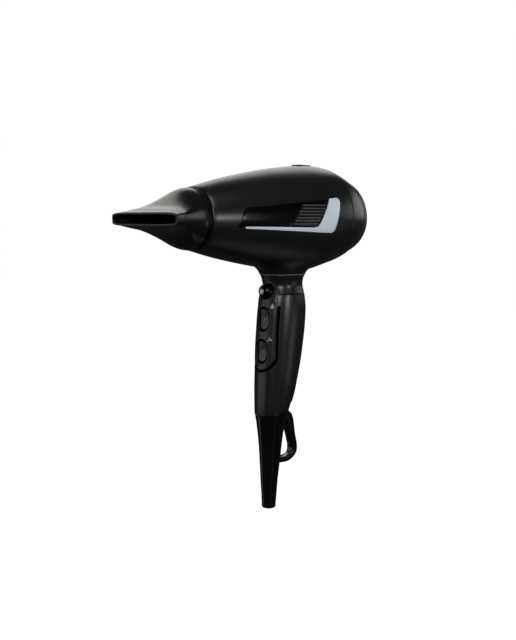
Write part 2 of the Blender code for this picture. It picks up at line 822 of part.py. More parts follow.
def build_guard(look):
    levels = [-178.0, -185.0, -192.0, -202.0, -214.0, -228.0, -242.0, -250.6, GUARD_BOTTOM]
    plug = [handle_ring(PLUG_TOP, HANDLE_WALL + 0.6), handle_ring(SEAM_Z, HANDLE_WALL + 0.6, SEAM_SLOPE)]
    body = [handle_ring(SEAM_Z, 0.0, SEAM_SLOPE), handle_ring(-171.5, 0.0, 0.06)]
    body += [handle_ring(z) for z in levels[:-1]]
    body.append(handle_ring(GUARD_BOTTOM, 0.7))
    guard = loft("cord_guard", plug + body, look["gloss"])
    strap = prism(
        "hanging_strap",
        LOOP_OUTER + LOOP_INNER,
        "X",
        -LOOP_HALF_WIDTH,
        LOOP_HALF_WIDTH,
        look["gloss"],
    )
    join(guard, strap)
    bore_rows = [
        (-155.0, 10.5, 12.5),
        (-166.0, 9.6, 11.2),
        (-178.0, 7.8, 7.8),
        (-192.0, 6.4, 6.4),
        (-214.0, 5.0, 5.0),
        (-232.0, 4.1, 4.1),
        (-254.0, 3.9, 3.9),
    ]
    rings = []
    for z, half_x, half_y in bore_rows:
        centre = handle_section(max(z, GUARD_BOTTOM))[0]
        rings.append([(x, centre + y, z) for x, y in superellipse(half_x, half_y, 2.0, 24)])
    cut(guard, loft("cord_bore", rings, look["gloss"]))


def build_cord_hardware(look):
    centre = handle_section(-148.0)[0]
    clamp = block("cord_clamp", (-11.0, centre - 5.5, -152.0), (11.0, centre + 5.5, -145.0), look["dark"])
    bore = [(0.0, -155.0), (3.9, -155.0), (3.9, -142.0), (0.0, -142.0)]
    cut(clamp, turned("clamp_bore", bore, look["dark"], 20, (0.0, centre, 0.0), "Z"))
    for x, word in ((7.7, "left"), (-7.7, "right")):
        hole = [(0.0, centre - 8.0), (1.4, centre - 8.0), (1.4, centre + 8.0), (0.0, centre + 8.0)]
        cut(clamp, turned(f"clamp_hole_{word}", hole, look["dark"], 12, (x, 0.0, -148.5)))
        screw(f"clamp_screw_{word}", centre - 7.4, -148.5, x, 1.0, look["metal"], 10.5)
    block("terminal_block", (-8.0, centre - 3.0, -143.5), (8.0, centre + 7.0, -134.5), look["white"])


# Motor, fan and heater


def build_fan_case(look):
    case = [(SHROUD_INNER, SHROUD_FRONT), (SHROUD_RADIUS, SHROUD_FRONT)]
    case += [(SHROUD_RADIUS, SHROUD_REAR), (SHROUD_INNER, SHROUD_REAR)]
    turned("fan_shroud", case, look["duct"], 36)
    cone = [(34.4, 85.6), (36.0, 85.6), (24.4, 72.4), (22.8, 72.4)]
    turned("air_cone", cone, look["duct"], 32)
    front = [(36.3, 91.0), (39.9, 91.0), (40.4, 96.0), (36.3, 96.0)]
    damper = turned("motor_damper_front", front, look["rubber"], 28)
    cut(damper, block("wire_notch", (1.5, 89.0, -44.0), (9.0, 98.0, -30.0), look["rubber"]))
    rear = [(36.3, 112.5), (42.2, 112.5), (42.6, 117.5), (36.3, 117.5)]
    turned("motor_damper_rear", rear, look["rubber"], 28)

    hub = [(17.4, 102.0), (18.8, 102.0), (18.8, 115.5), (17.4, 115.5)]
    mount = turned("motor_mount", hub, look["duct"], 21)
    rim = [(32.8, 102.0), (34.1, 102.0), (34.1, 115.5), (32.8, 115.5)]
    join(mount, turned("motor_mount_rim", rim, look["duct"], 28))
    low = (18.1, 103.0, -0.7)
    high = (33.4, 114.5, 0.7)
    join(mount, boxes_round("motor_mount_vanes", low, high, VANE_COUNT, look["duct"], 0.0, VANE_PITCH))


def build_motor(look):
    stator = turned(
        "stator_core", [(10.7, 92.0), (17.0, 92.0), (17.0, 112.0), (10.7, 112.0)], look["steel"], 28
    )
    slots = boxes_round("winding_slots", (9.5, 91.0, -2.1), (14.6, 113.0, 2.1), 4, look["steel"], 45.0)
    cut(stator, slots)
    for side, word in ((1.0, "upper"), (-1.0, "lower")):
        path = []
        for y, angles in ((90.2, (45, 65, 90, 115, 135)), (113.8, (135, 115, 90, 65, 45))):
            for angle in angles:
                a = math.radians(angle)
                path.append((12.7 * math.cos(a), y, 12.7 * side * math.sin(a)))
        tube_curve(f"field_coil_{word}", path, 1.6, look["copper"], cyclic=True)

    armature = [(1.9, 91.0), (7.6, 91.0), (8.4, 94.0), (10.3, 94.0), (10.3, 110.0), (8.4, 110.0)]
    armature += [(7.6, 113.0), (1.9, 113.0)]
    turned("armature", armature, look["steel"], 20)
    turned("commutator", [(1.9, 85.0), (5.4, 85.0), (5.4, 90.6), (1.9, 90.6)], look["copper"], 18)
    turned("motor_shaft", [(0.0, 78.0), (1.6, 78.0), (1.6, 136.0), (0.0, 136.0)], look["steel"], 16)
    for y, word in ((80.0, "front"), (118.0, "rear")):
        ring = [(1.9, y), (4.9, y), (4.9, y + 4.0), (1.9, y + 4.0)]
        turned(f"{word}_bearing", ring, look["steel"], 20)
    for z, word in ((1.0, "upper"), (-1.0, "lower")):
        low = min(5.8 * z, 10.7 * z)
        high = max(5.8 * z, 10.7 * z)
        block(f"brush_holder_{word}", (-2.6, 85.3, low), (2.6, 89.6, high), look["brass"])

    bridge = block("motor_front_bracket", (-17.0, 80.3, -6.6), (17.0, 83.7, 6.6), look["dark"])
    for side in (1.0, -1.0):
        low = min(13.0 * side, 17.0 * side)
        high = max(13.0 * side, 17.0 * side)
        word = "left" if side > 0 else "right"
        leg = block(f"bracket_leg_{word}", (low, 81.5, -4.0), (high, 91.7, 4.0), look["dark"])
        join(bridge, leg)
    bore = [(0.0, 79.0), (5.2, 79.0), (5.2, 85.0), (0.0, 85.0)]
    cut(bridge, turned("front_bearing_seat", bore, look["dark"], 20))
    plate = [(5.2, 118.2), (16.8, 118.2), (16.8, 121.6), (5.2, 121.6)]
    rear = turned("motor_rear_bracket", plate, look["dark"], 20)
    skirt = [(15.6, 112.3), (16.8, 112.3), (16.8, 119.5), (15.6, 119.5)]
    join(rear, turned("rear_bracket_skirt", skirt, look["dark"], 20))
    cut(rear, boxes_round("rear_bracket_vents", (8.0, 117.0, -2.2), (13.0, 123.0, 2.2), 6, look["dark"]))


def build_impeller(look):
    hub = [(1.9, 124.0), (8.0, 124.0), (10.0, 126.0), (10.0, 134.0), (7.0, 136.4), (1.9, 136.4)]
    impeller = turned("impeller", hub, look["duct"], 18)
    low = (9.0, 123.3, -0.8)
    high = (33.0, 136.5, 0.8)
    join(impeller, boxes_round("impeller_blades", low, high, BLADE_COUNT, look["duct"], 0.0, BLADE_PITCH))


def build_heater(look):
    tube = [(21.6, 14.0), (22.6, 14.0), (22.6, 72.0), (21.6, 72.0)]
    turned("heater_tube", tube, look["mica"], 32)
    cross = block("mica_cross", (-15.2, 16.0, -0.6), (15.2, 72.0, 0.6), look["mica"])
    join(cross, block("mica_cross_upright", (-0.6, 16.5, -15.2), (0.6, 71.5, 15.2), look["mica"]))
    for start, word in ((17.5, "front"), (46.0, "rear")):
        wire = helix(COIL_RADIUS, start, COIL_PITCH, COIL_TURNS, COIL_POINTS)
        tube_curve(f"heater_coil_{word}", wire, COIL_WIRE, look["wire"])
    block("thermostat", (1.6, 27.0, 1.6), (8.6, 36.0, 8.6), look["steel"])
    fuse = [(0.0, 40.0), (2.0, 40.0), (2.0, 54.0), (0.0, 54.0)]
    turned("thermal_fuse", fuse, look["white"], 12, (-4.5, 0.0, 4.5))
    block("ion_module", (-7.0, 42.0, 23.4), (7.0, 64.0, 29.6), look["dark"])
    needle = [(0.0, 20.0), (0.3, 20.0), (0.8, 25.0), (0.8, 41.6), (0.0, 41.6)]
    turned("ion_emitter", needle, look["steel"], 10, (0.0, 0.0, 25.4))


def build_wiring(look):
    path = [
        (5.0, 106.0, -76.0),
        (5.0, 109.0, -68.0),
        (5.0, 109.5, -54.0),
        (5.0, 107.0, -44.5),
        (5.0, 102.0, -39.6),
        (5.0, 96.0, -38.2),
        (5.0, 90.0, -37.9),
        (5.0, 82.0, -35.6),
        (4.5, 72.0, -30.0),
        (4.0, 66.0, -26.5),
        (4.0, 58.0, -25.4),
    ]
    tube_curve("wiring_harness", path, 1.2, look["cable"])


def make_looks():
    return {
        "satin": make_material("satin_black_plastic", (0.013, 0.013, 0.013), 0.38),
        "gloss": make_material("gloss_black_plastic", (0.006, 0.006, 0.006), 0.1),
        "panel": make_material("control_panel_black", (0.015, 0.015, 0.015), 0.32),
        "nozzle": make_material("nozzle_black_plastic", (0.01, 0.01, 0.01), 0.25),
        "black": make_material("plain_black_plastic", (0.01, 0.01, 0.01), 0.45),
        "rocker": make_material("rocker_black_plastic", (0.02, 0.02, 0.02), 0.3),
        "dark": make_material("dark_grey_plastic", (0.02, 0.02, 0.021), 0.5),
        "grey": make_material("louvre_grey_plastic", (0.12, 0.12, 0.125), 0.4),
        "silver": make_material("silver_trim", (0.45, 0.5, 0.56), 0.35, 0.6),
        "lens": make_material("smoked_lens", (0.02, 0.02, 0.022), 0.08),
        "mesh": make_material("filter_mesh_steel", (0.18, 0.18, 0.18), 0.4, 1.0),
        "metal": make_material("zinc_plated_steel", (0.5, 0.5, 0.5), 0.3, 1.0),
        "steel": make_material("machined_steel", (0.35, 0.35, 0.36), 0.35, 1.0),
        "copper": make_material("enamelled_copper", (0.45, 0.16, 0.07), 0.35, 0.9),
        "brass": make_material("brass", (0.55, 0.4, 0.14), 0.35, 1.0),
        "duct": make_material("duct_plastic", (0.03, 0.03, 0.032), 0.55),
        "rubber": make_material("black_rubber", (0.012, 0.012, 0.012), 0.8),
        "mica": make_material("mica_board", (0.42, 0.36, 0.27), 0.7),
        "wire": make_material("resistance_wire", (0.3, 0.27, 0.25), 0.45, 1.0),
        "white": make_material("white_ceramic", (0.75, 0.74, 0.7), 0.45),
        "board": make_material("green_circuit_board", (0.02, 0.11, 0.04), 0.4),
        "cable": make_material("heat_resistant_sleeve", (0.35, 0.32, 0.28), 0.7),
    }


def main():
    global parts, cutters, barrel_axis
    clear_scene()
    parts = new_collection("hair_dryer")
    cutters = new_collection("cutters")
    barrel_axis = bpy.data.objects.new("barrel_axis", None)
    parts.objects.link(barrel_axis)
    barrel_axis.location = (0.0, ORIGIN_Y * MM, ORIGIN_Z * MM)
    look = make_looks()
    build_housing(look)
    build_side_trim(look)
    build_rear(look)
    build_front(look)
    build_nozzle(look)
    build_indicator(look)
    build_neck_collar(look)
    build_handle(look)
    build_control_panel(look)
    build_button(look)
    build_rockers(look)
    build_board(look)
    for z, word in BOARD_SCREWS:
        screw(f"board_screw_{word}", 95.3, z, 0.0, 1.0, look["metal"])
    build_guard(look)
    build_cord_hardware(look)
    build_fan_case(look)
    build_motor(look)
    build_impeller(look)
    build_heater(look)
    build_wiring(look)


main()
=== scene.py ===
"""Visual model of the hair dryer, built round its CAD frame.

Lengths are in millimetres in the barrel frame and turned into metres by the helpers. The barrel frame has its
origin on the barrel axis at the housing's front edge, +Y to the rear, +X to the dryer's left and +Z up.
"""

import json
import math

import bmesh
import bpy
from mathutils import Matrix, Vector


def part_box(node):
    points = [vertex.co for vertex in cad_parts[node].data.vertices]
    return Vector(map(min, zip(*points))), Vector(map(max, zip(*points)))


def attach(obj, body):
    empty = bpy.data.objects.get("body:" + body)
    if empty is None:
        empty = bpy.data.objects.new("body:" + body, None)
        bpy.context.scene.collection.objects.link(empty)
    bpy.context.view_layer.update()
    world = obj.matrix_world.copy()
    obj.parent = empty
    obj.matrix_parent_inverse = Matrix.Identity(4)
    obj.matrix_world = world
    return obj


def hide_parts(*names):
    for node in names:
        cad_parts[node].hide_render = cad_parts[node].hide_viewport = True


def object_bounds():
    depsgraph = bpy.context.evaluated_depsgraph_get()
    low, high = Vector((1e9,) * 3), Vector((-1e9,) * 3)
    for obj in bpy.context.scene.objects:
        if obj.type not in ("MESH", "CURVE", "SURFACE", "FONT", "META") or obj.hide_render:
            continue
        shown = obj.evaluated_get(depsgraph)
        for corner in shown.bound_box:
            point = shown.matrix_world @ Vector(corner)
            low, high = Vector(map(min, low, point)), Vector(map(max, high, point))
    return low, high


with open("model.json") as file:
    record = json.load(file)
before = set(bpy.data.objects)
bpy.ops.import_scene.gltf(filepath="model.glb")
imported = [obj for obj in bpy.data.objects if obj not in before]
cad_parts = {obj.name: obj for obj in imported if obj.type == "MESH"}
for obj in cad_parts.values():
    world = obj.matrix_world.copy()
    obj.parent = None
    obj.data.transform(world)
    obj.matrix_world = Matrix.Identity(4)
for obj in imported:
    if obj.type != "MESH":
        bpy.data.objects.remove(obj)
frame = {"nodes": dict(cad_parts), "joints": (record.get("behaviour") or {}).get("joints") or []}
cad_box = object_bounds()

MM = 0.001
WELD = 1e-6
BODY = "dryer_body"

# The barrel frame's origin, from the axis that the fan turns about and the housing's front edge
FAN_AXIS = next(joint for joint in frame["joints"] if joint["name"] == "fan_spin")["pos_m"]
HOUSING_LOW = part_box("housing")[0]
BARREL_ORIGIN = Vector((FAN_AXIS[0], HOUSING_LOW[1], FAN_AXIS[2]))

# Barrel: distance along the axis, radius
BARREL_RADII = [
    (0.0, 25.3),
    (25.0, 31.4),
    (50.0, 36.4),
    (80.0, 41.4),
    (105.0, 44.4),
    (125.0, 46.0),
    (145.0, 45.7),
    (160.0, 42.4),
    (172.0, 37.6),
    (179.0, 35.1),
    (182.0, 31.3),
]
HOUSING_LENGTH = 146.0
COVER_END = 171.0
BARREL_STEPS = 160
TUCK_START = 118.0
TUCK_END = 150.0
TUCK_SHARE = 0.1
STATION = 4.0
WALL = 2.3
GAP = 0.3
PANEL_THICKNESS = 1.2
POCKET_DEPTH = 1.5
POCKET_MARGIN = 2.0
LENS_POCKET = ((-4.8, 120.7, 44.75), (4.8, 138.3, 50.0))

# The stretch of barrel, and the distances out from its middle, that the side pieces are cut from
SIDE_START = 16.0
SIDE_END = 134.0
SIDE_NEAR = 12.0
SIDE_FAR = 60.0

# Handle: height, centre along Y, half width along X, half depth along Y
HANDLE_SECTIONS = [
    (-43.0, 105.6, 20.8, 24.6),
    (-47.0, 105.6, 18.1, 20.8),
    (-50.0, 105.6, 16.8, 19.3),
    (-53.0, 105.6, 15.9, 18.5),
    (-57.0, 105.8, 15.5, 18.3),
    (-61.0, 105.6, 16.2, 19.4),
    (-64.3, 105.3, 16.9, 20.8),
    (-68.0, 105.1, 17.3, 21.8),
    (-74.0, 105.1, 17.8, 22.6),
    (-81.0, 104.6, 18.0, 23.2),
    (-95.0, 103.3, 18.0, 23.3),
    (-109.0, 101.6, 17.5, 23.0),
    (-123.0, 100.0, 17.0, 22.1),
    (-137.0, 97.8, 16.5, 20.5),
    (-151.0, 95.7, 15.5, 18.9),
    (-164.0, 93.1, 14.0, 16.5),
    (-171.0, 91.9, 13.0, 14.3),
    (-178.0, 90.9, 11.9, 12.3),
    (-192.0, 90.4, 10.2, 10.3),
    (-214.0, 89.6, 8.4, 8.4),
    (-228.0, 88.9, 7.3, 7.3),
    (-242.0, 88.7, 6.4, 6.4),
    (-252.0, 88.4, 5.8, 5.8),
]
HANDLE_COUNT = 96
HANDLE_POWER = 2.2
HANDLE_WALL = 2.2
HANDLE_Y = 105.6
NECK_TOP = -47.0
COLLAR_BOTTOM = -64.0
SEAM_Z = -166.0
SEAM_SLOPE = 0.2
PLUG_TOP = -158.0
GUARD_BOTTOM = -252.0
FLARE_HALF_X = 29.0
FLARE_HALF_Y = 37.0
FLARE_SINK = 0.12
FLARE_REACH = 0.42

# Raised lip between the neck and its ring, coloured mid grey as a painted highlight line along the joint, as
# (height above NECK_TOP - GAP, inset)
HIGHLIGHT_LINE_SECTION = [(0.25, 0.1), (0.25, -0.4), (-0.35, -0.6), (-0.45, -0.2), (-0.45, 1.0), (0.25, 1.0)]

# Control panel
PANEL_HALF_WIDTH = 10.8
PANEL_TOP = -53.0
PANEL_BOTTOM = -128.5
PANEL_PROUD = 0.2
PANEL_GAP = 0.4
BUTTON_Z = -61.6
BUTTON_RADIUS = 6.6
BUTTON_RIM = 84.4
BUTTON_DOME = 5.6
HEAT_Z = -85.3
SPEED_Z = -112.8
ROCKER_HALF_WIDTH = 5.0
ROCKER_HALF_LENGTH = 9.3
ROCKER_DEPTH = 4.8
ROCKER_SINK = 1.0
ROCKER_MARGIN = 1.8
ROCKER_INSET = 0.7
DISH_RADIUS = 24.0
DISH_DEPTH = 1.5
DISH_ANGLE = 30.0
DISH_STEP = 1.5
DISH_REACH = 30.0
TICK_HALF_WIDTH = 0.35
MARK_SINK = 0.25
MARK_PROUD = 0.06

# Channel beside the control panel, and the dark strip behind it: painted shade, a near-black sheet standing
# in for the shadow inside the channel
GROOVE_WIDTH = 2.6
GROOVE_TOP = -73.5
STRIP_RISE = 4.0
STRIP_NEAR = 0.4
STRIP_FAR = 1.2
STRIP_OVERLAP = 1.2

# Nozzle: distance along the axis, half width, half height, squareness of the section
NOZZLE_SECTIONS = [
    (-49.0, 38.0, 5.1, 6.0),
    (-46.0, 37.3, 5.7, 5.0),
    (-41.0, 35.6, 7.6, 3.8),
    (-34.0, 32.6, 10.0, 2.9),
    (-27.0, 29.8, 14.0, 2.4),
    (-20.0, 27.3, 18.5, 2.15),
    (-14.0, 25.6, 22.2, 2.05),
    (-9.0, 24.6, 24.0, 2.0),
    (-4.5, 24.4, 24.4, 2.0),
]
NOZZLE_COUNT = 128
NOZZLE_WALL = 1.7

# Side panel, trim and louvres, as (distance along the axis, height)
TRIM_INNER = [(101.8, -6.2), (103.7, -4.5), (106.5, 0.0), (109.8, 5.6), (113.5, 10.8), (117.4, 16.9)]
LOUVRE_COUNT = 7
LOUVRE_TOP_Z = 11.2
LOUVRE_PITCH = 2.55
LOUVRE_HEIGHT = 1.1
LOUVRE_FIRST_START = 85.6
LOUVRE_SLANT = 0.7
LOUVRE_END_GAP = 2.9

# Hanging loop behind the cord guard, as (distance along the axis, height)
LOOP_OUTER = [
    (98.0, -163.5),
    (110.5, -168.5),
    (116.4, -175.0),
    (119.4, -190.0),
    (122.2, -202.0),
    (120.5, -209.0),
    (112.4, -213.8),
    (103.0, -214.2),
    (92.0, -212.5),
]
LOOP_INNER = [
    (92.0, -207.5),
    (103.8, -209.0),
    (113.5, -208.4),
    (116.0, -203.0),
    (113.6, -193.0),
    (110.3, -184.0),
    (106.5, -177.0),
    (98.0, -176.0),
]
LOOP_HALF_WIDTH = 3.6

# Rows of slots in the rear grille: inner radius, outer radius, count
GRILLE_SLOTS = ((18.5, 29.0, 36), (6.8, 15.0, 18))
SLOT_HALF_WIDTH = 0.95
SLOT_CUT = (172.0, 190.0)

# Dust filter weave
MESH_RADIUS = 30.2
MESH_PITCH = 1.5
MESH_WAVE = 0.16
MESH_WIRE = 0.15
MESH_PLANE = 176.0

# Camera, in metres and degrees
CAMERA_PLACE = (0.5416, -0.5919, 0.1215)
CAMERA_AZIMUTH = 43.7
CAMERA_PITCH = 6.33
CAMERA_LENS = 52.17

# Studio, with its lengths in metres
FLOOR_RADIUS = 3.8
FLOOR_DROP = 0.004
BACKDROP_RADIUS = 4.0
SKY_STRENGTH = 0.03
AIM = (0.0, 0.0, 0.06)
WHITE = (1.0, 1.0, 1.0)

# Lights: name, azimuth and elevation in degrees, distance, width and height in metres, watts, colour
LIGHTS = [
    ("back_top", 238.0, 30.0, 1.7, 2.0, 1.1, 10.0, (1.0, 1.0, 0.96)),
    ("key", 72.0, 57.0, 1.6, 0.9, 0.9, 8.0, WHITE),
    ("front_fill", 48.0, 18.0, 1.5, 0.7, 0.5, 9.0, WHITE),
    ("front_top", -44.0, 45.0, 1.5, 0.7, 0.7, 1.5, WHITE),
    ("side", 99.0, 6.5, 1.5, 0.35, 0.22, 3.4, WHITE),
    ("rear_rim", 166.0, 12.0, 1.6, 1.7, 0.5, 2.5, WHITE),
    ("left_fill", -28.0, 3.0, 1.6, 1.6, 1.1, 5.0, WHITE),
    ("grip_side", 128.0, -10.0, 1.5, 0.3, 0.3, 0.45, WHITE),
    ("low_side", 85.0, -24.0, 1.5, 0.12, 0.3, 0.05, WHITE),
    ("low_back", 152.0, -58.0, 1.5, 0.8, 0.5, 0.25, WHITE),
    ("low_left", -60.0, -26.0, 1.5, 0.3, 0.6, 0.25, WHITE),
]


# Interpolation


def slope(rows, index, column):
    low = max(index - 1, 0)
    high = min(index + 1, len(rows) - 1)
    return (rows[high][column] - rows[low][column]) / (rows[high][0] - rows[low][0])


def interpolate(table, at):
    """Smooth curve through (position, value, ...) rows."""
    rows = sorted(table)
    at = min(max(at, rows[0][0]), rows[-1][0])
    index = 0
    while index < len(rows) - 2 and at > rows[index + 1][0]:
        index += 1
    span = rows[index + 1][0] - rows[index][0]
    t = (at - rows[index][0]) / span
    result = []
    for column in range(1, len(rows[0])):
        before = slope(rows, index, column) * span
        after = slope(rows, index + 1, column) * span
        start = rows[index][column]
        end = rows[index + 1][column]
        result.append(
            (2 * t**3 - 3 * t**2 + 1) * start
            + (t**3 - 2 * t**2 + t) * before
            + (3 * t**2 - 2 * t**3) * end
            + (t**3 - t**2) * after
        )
    return result


def barrel_radius(along):
    return interpolate(BARREL_RADII, along)[0]


def handle_section(height):
    return interpolate(HANDLE_SECTIONS, height)


def spread(start, end, step):
    """Even positions from start to end, no further apart than step."""
    count = max(1, math.ceil(abs(end - start) / step))
    return [start + (end - start) * i / count for i in range(count + 1)]


def rounded(corners, radii, points):
    """Outline with round corners: an arc of the given radius in place of each corner."""
    result = []
    count = len(corners)
    for i, radius in enumerate(radii):
        corner = Vector(corners[i])
        if radius == 0:
            result.append(tuple(corner))
            continue
        before = (Vector(corners[i - 1]) - corner).normalized()
        after = (Vector(corners[(i + 1) % count]) - corner).normalized()
        half = before.angle(after) / 2
        reach = radius / math.tan(half)
        centre = corner + (before + after).normalized() * radius / math.sin(half)
        start = corner + before * reach - centre
        turn = start.angle_signed(corner + after * reach - centre)
        for k in range(points + 1):
            arm = start.copy()
            arm.rotate(Matrix.Rotation(-turn * k / points, 2))
            result.append(tuple(centre + arm))
    return result


# Shape builders


def new_object(name, mesh, material):
    if material:
        mesh.materials.clear()
        mesh.materials.append(material)
    obj = bpy.data.objects.new(name, mesh)
    bpy.context.scene.collection.objects.link(obj)
    return obj


def shade(mesh, angle=32.0):
    mesh.shade_smooth()
    mesh.set_sharp_from_angle(angle=math.radians(angle))


def finish_mesh(work, name, material, angle=32.0):
    mesh = bpy.data.meshes.new(name)
    bmesh.ops.recalc_face_normals(work, faces=work.faces)
    work.to_mesh(mesh)
    work.free()
    shade(mesh, angle)
    return new_object(name, mesh, material)


def to_world(point):
    return BARREL_ORIGIN + Vector(point) * MM


def loft(name, rings, material, closed=False):
    """Skin through rings of equal count. A closed loft joins the last ring to the first."""
    work = bmesh.new()
    grid = [[work.verts.new(to_world(point)) for point in ring] for ring in rings]
    pairs = list(zip(grid, grid[1:], strict=False))
    if closed:
        pairs.append((grid[-1], grid[0]))
    for first, second in pairs:
        for k in range(len(first)):
            n = (k + 1) % len(first)
            work.faces.new((first[k], first[n], second[n], second[k]))
    if not closed:
        work.faces.new(grid[0])
        work.faces.new(grid[-1])
    return finish_mesh(work, name, material)


def turned(name, profile, material, steps=96, centre=(0.0, 0.0)):
    """Solid or ring of revolution from (radius, distance) points about an axis parallel to Y."""
    rings = []
    for radius, distance in profile:
        reach = max(radius, WELD)
        ring = []
        for k in range(steps):
            turn = 2 * math.pi * k / steps
            ring.append((centre[0] + reach * math.cos(turn), distance, centre[1] + reach * math.sin(turn)))
        rings.append(ring)
    solid = profile[0][0] == 0.0
    obj = loft(name, rings, material, closed=not solid)
    work = bmesh.new()
    work.from_mesh(obj.data)
    bmesh.ops.remove_doubles(work, verts=work.verts, dist=WELD)
    work.to_mesh(obj.data)
    work.free()
    shade(obj.data)
    return obj


def superellipse(half_a, half_b, power, count):
    points = []
    for k in range(count):
        turn = 2 * math.pi * k / count
        c = math.cos(turn)
        s = math.sin(turn)
        a = half_a * math.copysign(abs(c) ** (2 / power), c)
        b = half_b * math.copysign(abs(s) ** (2 / power), s)
        points.append((a, b))
    return points


def handle_ring(height, inset=0.0, tilt=0.0):
    """Outline of the handle at a height, drawn in by an inset and rising towards the rear by a tilt."""
    centre, half_x, half_y = handle_section(height)
    outline = superellipse(half_x - inset, half_y - inset, HANDLE_POWER, HANDLE_COUNT)
    return [(x, centre + y, height + tilt * y) for x, y in outline]


def handle_front(x, height, inset=0.0):
    """The distance along Y of the handle's front surface at a place across and up it."""
    centre, half_x, half_y = handle_section(height)
    across = min(abs(x) / (half_x - inset), 1.0)
    return centre - (half_y - inset) * (1 - across**HANDLE_POWER) ** (1 / HANDLE_POWER)


def tuck(obj):
    """Raises the barrel's underside towards the rear, behind the handle."""
    for vertex in obj.data.vertices:
        height = vertex.co.z - BARREL_ORIGIN.z
        share = ((vertex.co.y - BARREL_ORIGIN.y) / MM - TUCK_START) / (TUCK_END - TUCK_START)
        share = min(max(share, 0.0), 1.0)
        if height < 0:
            vertex.co.z -= height * TUCK_SHARE * share**2 * (3 - 2 * share)
    return obj


def join_ends(work, ends):
    """Closes two equal loops of vertices into a prism."""
    work.faces.new(ends[0])
    work.faces.new(ends[1])
    count = len(ends[0])
    for k in range(count):
        n = (k + 1) % count
        work.faces.new((ends[0][k], ends[0][n], ends[1][n], ends[1][k]))


def prism(name, outline, axis, start, end, material=None):
    """Straight prism: (y, z) points swept along X, or (x, z) points swept along Y."""
    work = bmesh.new()
    ends = []
    for at in (start, end):
        if axis == "X":
            points = [(at, a, b) for a, b in outline]
        else:
            points = [(a, at, b) for a, b in outline]
        ends.append([work.verts.new(to_world(point)) for point in points])
    join_ends(work, ends)
    return finish_mesh(work, name, material)


def boxes(name, corners, material=None):
    """Boxes in one object, each between a low and a high corner."""
    work = bmesh.new()
    for low, high in corners:
        size = (Vector(high) - Vector(low)) * MM
        centre = to_world((Vector(high) + Vector(low)) / 2)
        matrix = Matrix.Translation(centre) @ Matrix.Diagonal((*size, 1.0))
        bmesh.ops.create_cube(work, size=1.0, matrix=matrix)
    return finish_mesh(work, name, material)


def capsule(half_width, half_length, centre_z, points):
    """Upright outline with round ends, as (x, z) points."""
    straight = half_length - half_width
    outline = []
    for side in (1.0, -1.0):
        for k in range(points + 1):
            turn = math.pi * k / points
            x = side * half_width * math.cos(turn)
            outline.append((x, centre_z + side * (straight + half_width * math.sin(turn))))
    return outline


def apply(obj):
    """Makes what the modifiers show the object's own mesh."""
    graph = bpy.context.evaluated_depsgraph_get()
    mesh = bpy.data.meshes.new_from_object(obj.evaluated_get(graph))
    obj.modifiers.clear()
    obj.data = mesh


def combine(obj, tool, operation):
    """Boolean with a tool object, which is then removed."""
    modifier = obj.modifiers.new("Boolean", "BOOLEAN")
    modifier.operation = operation
    modifier.solver = "EXACT"
    modifier.object = tool
    bpy.context.view_layer.update()
    apply(obj)
    bpy.data.objects.remove(tool, do_unlink=True)
    return obj


def soften(obj, width, segments, angle=40.0):
    """Rounds the sharp edges."""
    bevel = obj.modifiers.new("Edge rounding", "BEVEL")
    bevel.width = width * MM
    bevel.segments = segments
    bevel.limit_method = "ANGLE"
    bevel.angle_limit = math.radians(angle)
    bevel.miter_outer = "MITER_ARC"
    bpy.context.view_layer.update()
    apply(obj)
    shade(obj.data, 40.0)


def stand_for(obj, body, *nodes):
    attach(obj, body)
    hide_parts(*nodes)


# Materials


def node(tree, kind, **inputs):
    made = tree.nodes.new(kind)
    for key, value in inputs.items():
        made.inputs[key.replace("_", " ")].default_value = value
    return made


def noise(tree, scale, detail, roughness=0.5):
    place = tree.nodes.new("ShaderNodeTexCoord")
    made = node(tree, "ShaderNodeTexNoise", Scale=scale, Detail=detail, Roughness=roughness)
    tree.links.new(place.outputs["Object"], made.inputs["Vector"])
    return made.outputs["Fac"]


def mapped(tree, source, low, high, from_low=0.3, from_high=0.7):
    made = tree.nodes.new("ShaderNodeMapRange")
    made.inputs["From Min"].default_value = from_low
    made.inputs["From Max"].default_value = from_high
    made.inputs["To Min"].default_value = low
    made.inputs["To Max"].default_value = high
    tree.links.new(source, made.inputs["Value"])
    return made.outputs["Result"]


def blend_colours(tree, factor, first, second):
    made = tree.nodes.new("ShaderNodeMix")
    made.data_type = "RGBA"
    tree.links.new(factor, made.inputs["Factor"])
    for socket, value in ((made.inputs[6], first), (made.inputs[7], second)):
        if isinstance(value, bpy.types.NodeSocket):
            tree.links.new(value, socket)
        else:
            socket.default_value = (*value, 1.0)
    return made.outputs[2]


def bump(tree, height, distance):
    made = node(tree, "ShaderNodeBump", Strength=1.0, Distance=distance)
    tree.links.new(height, made.inputs["Height"])
    return made.outputs["Normal"]


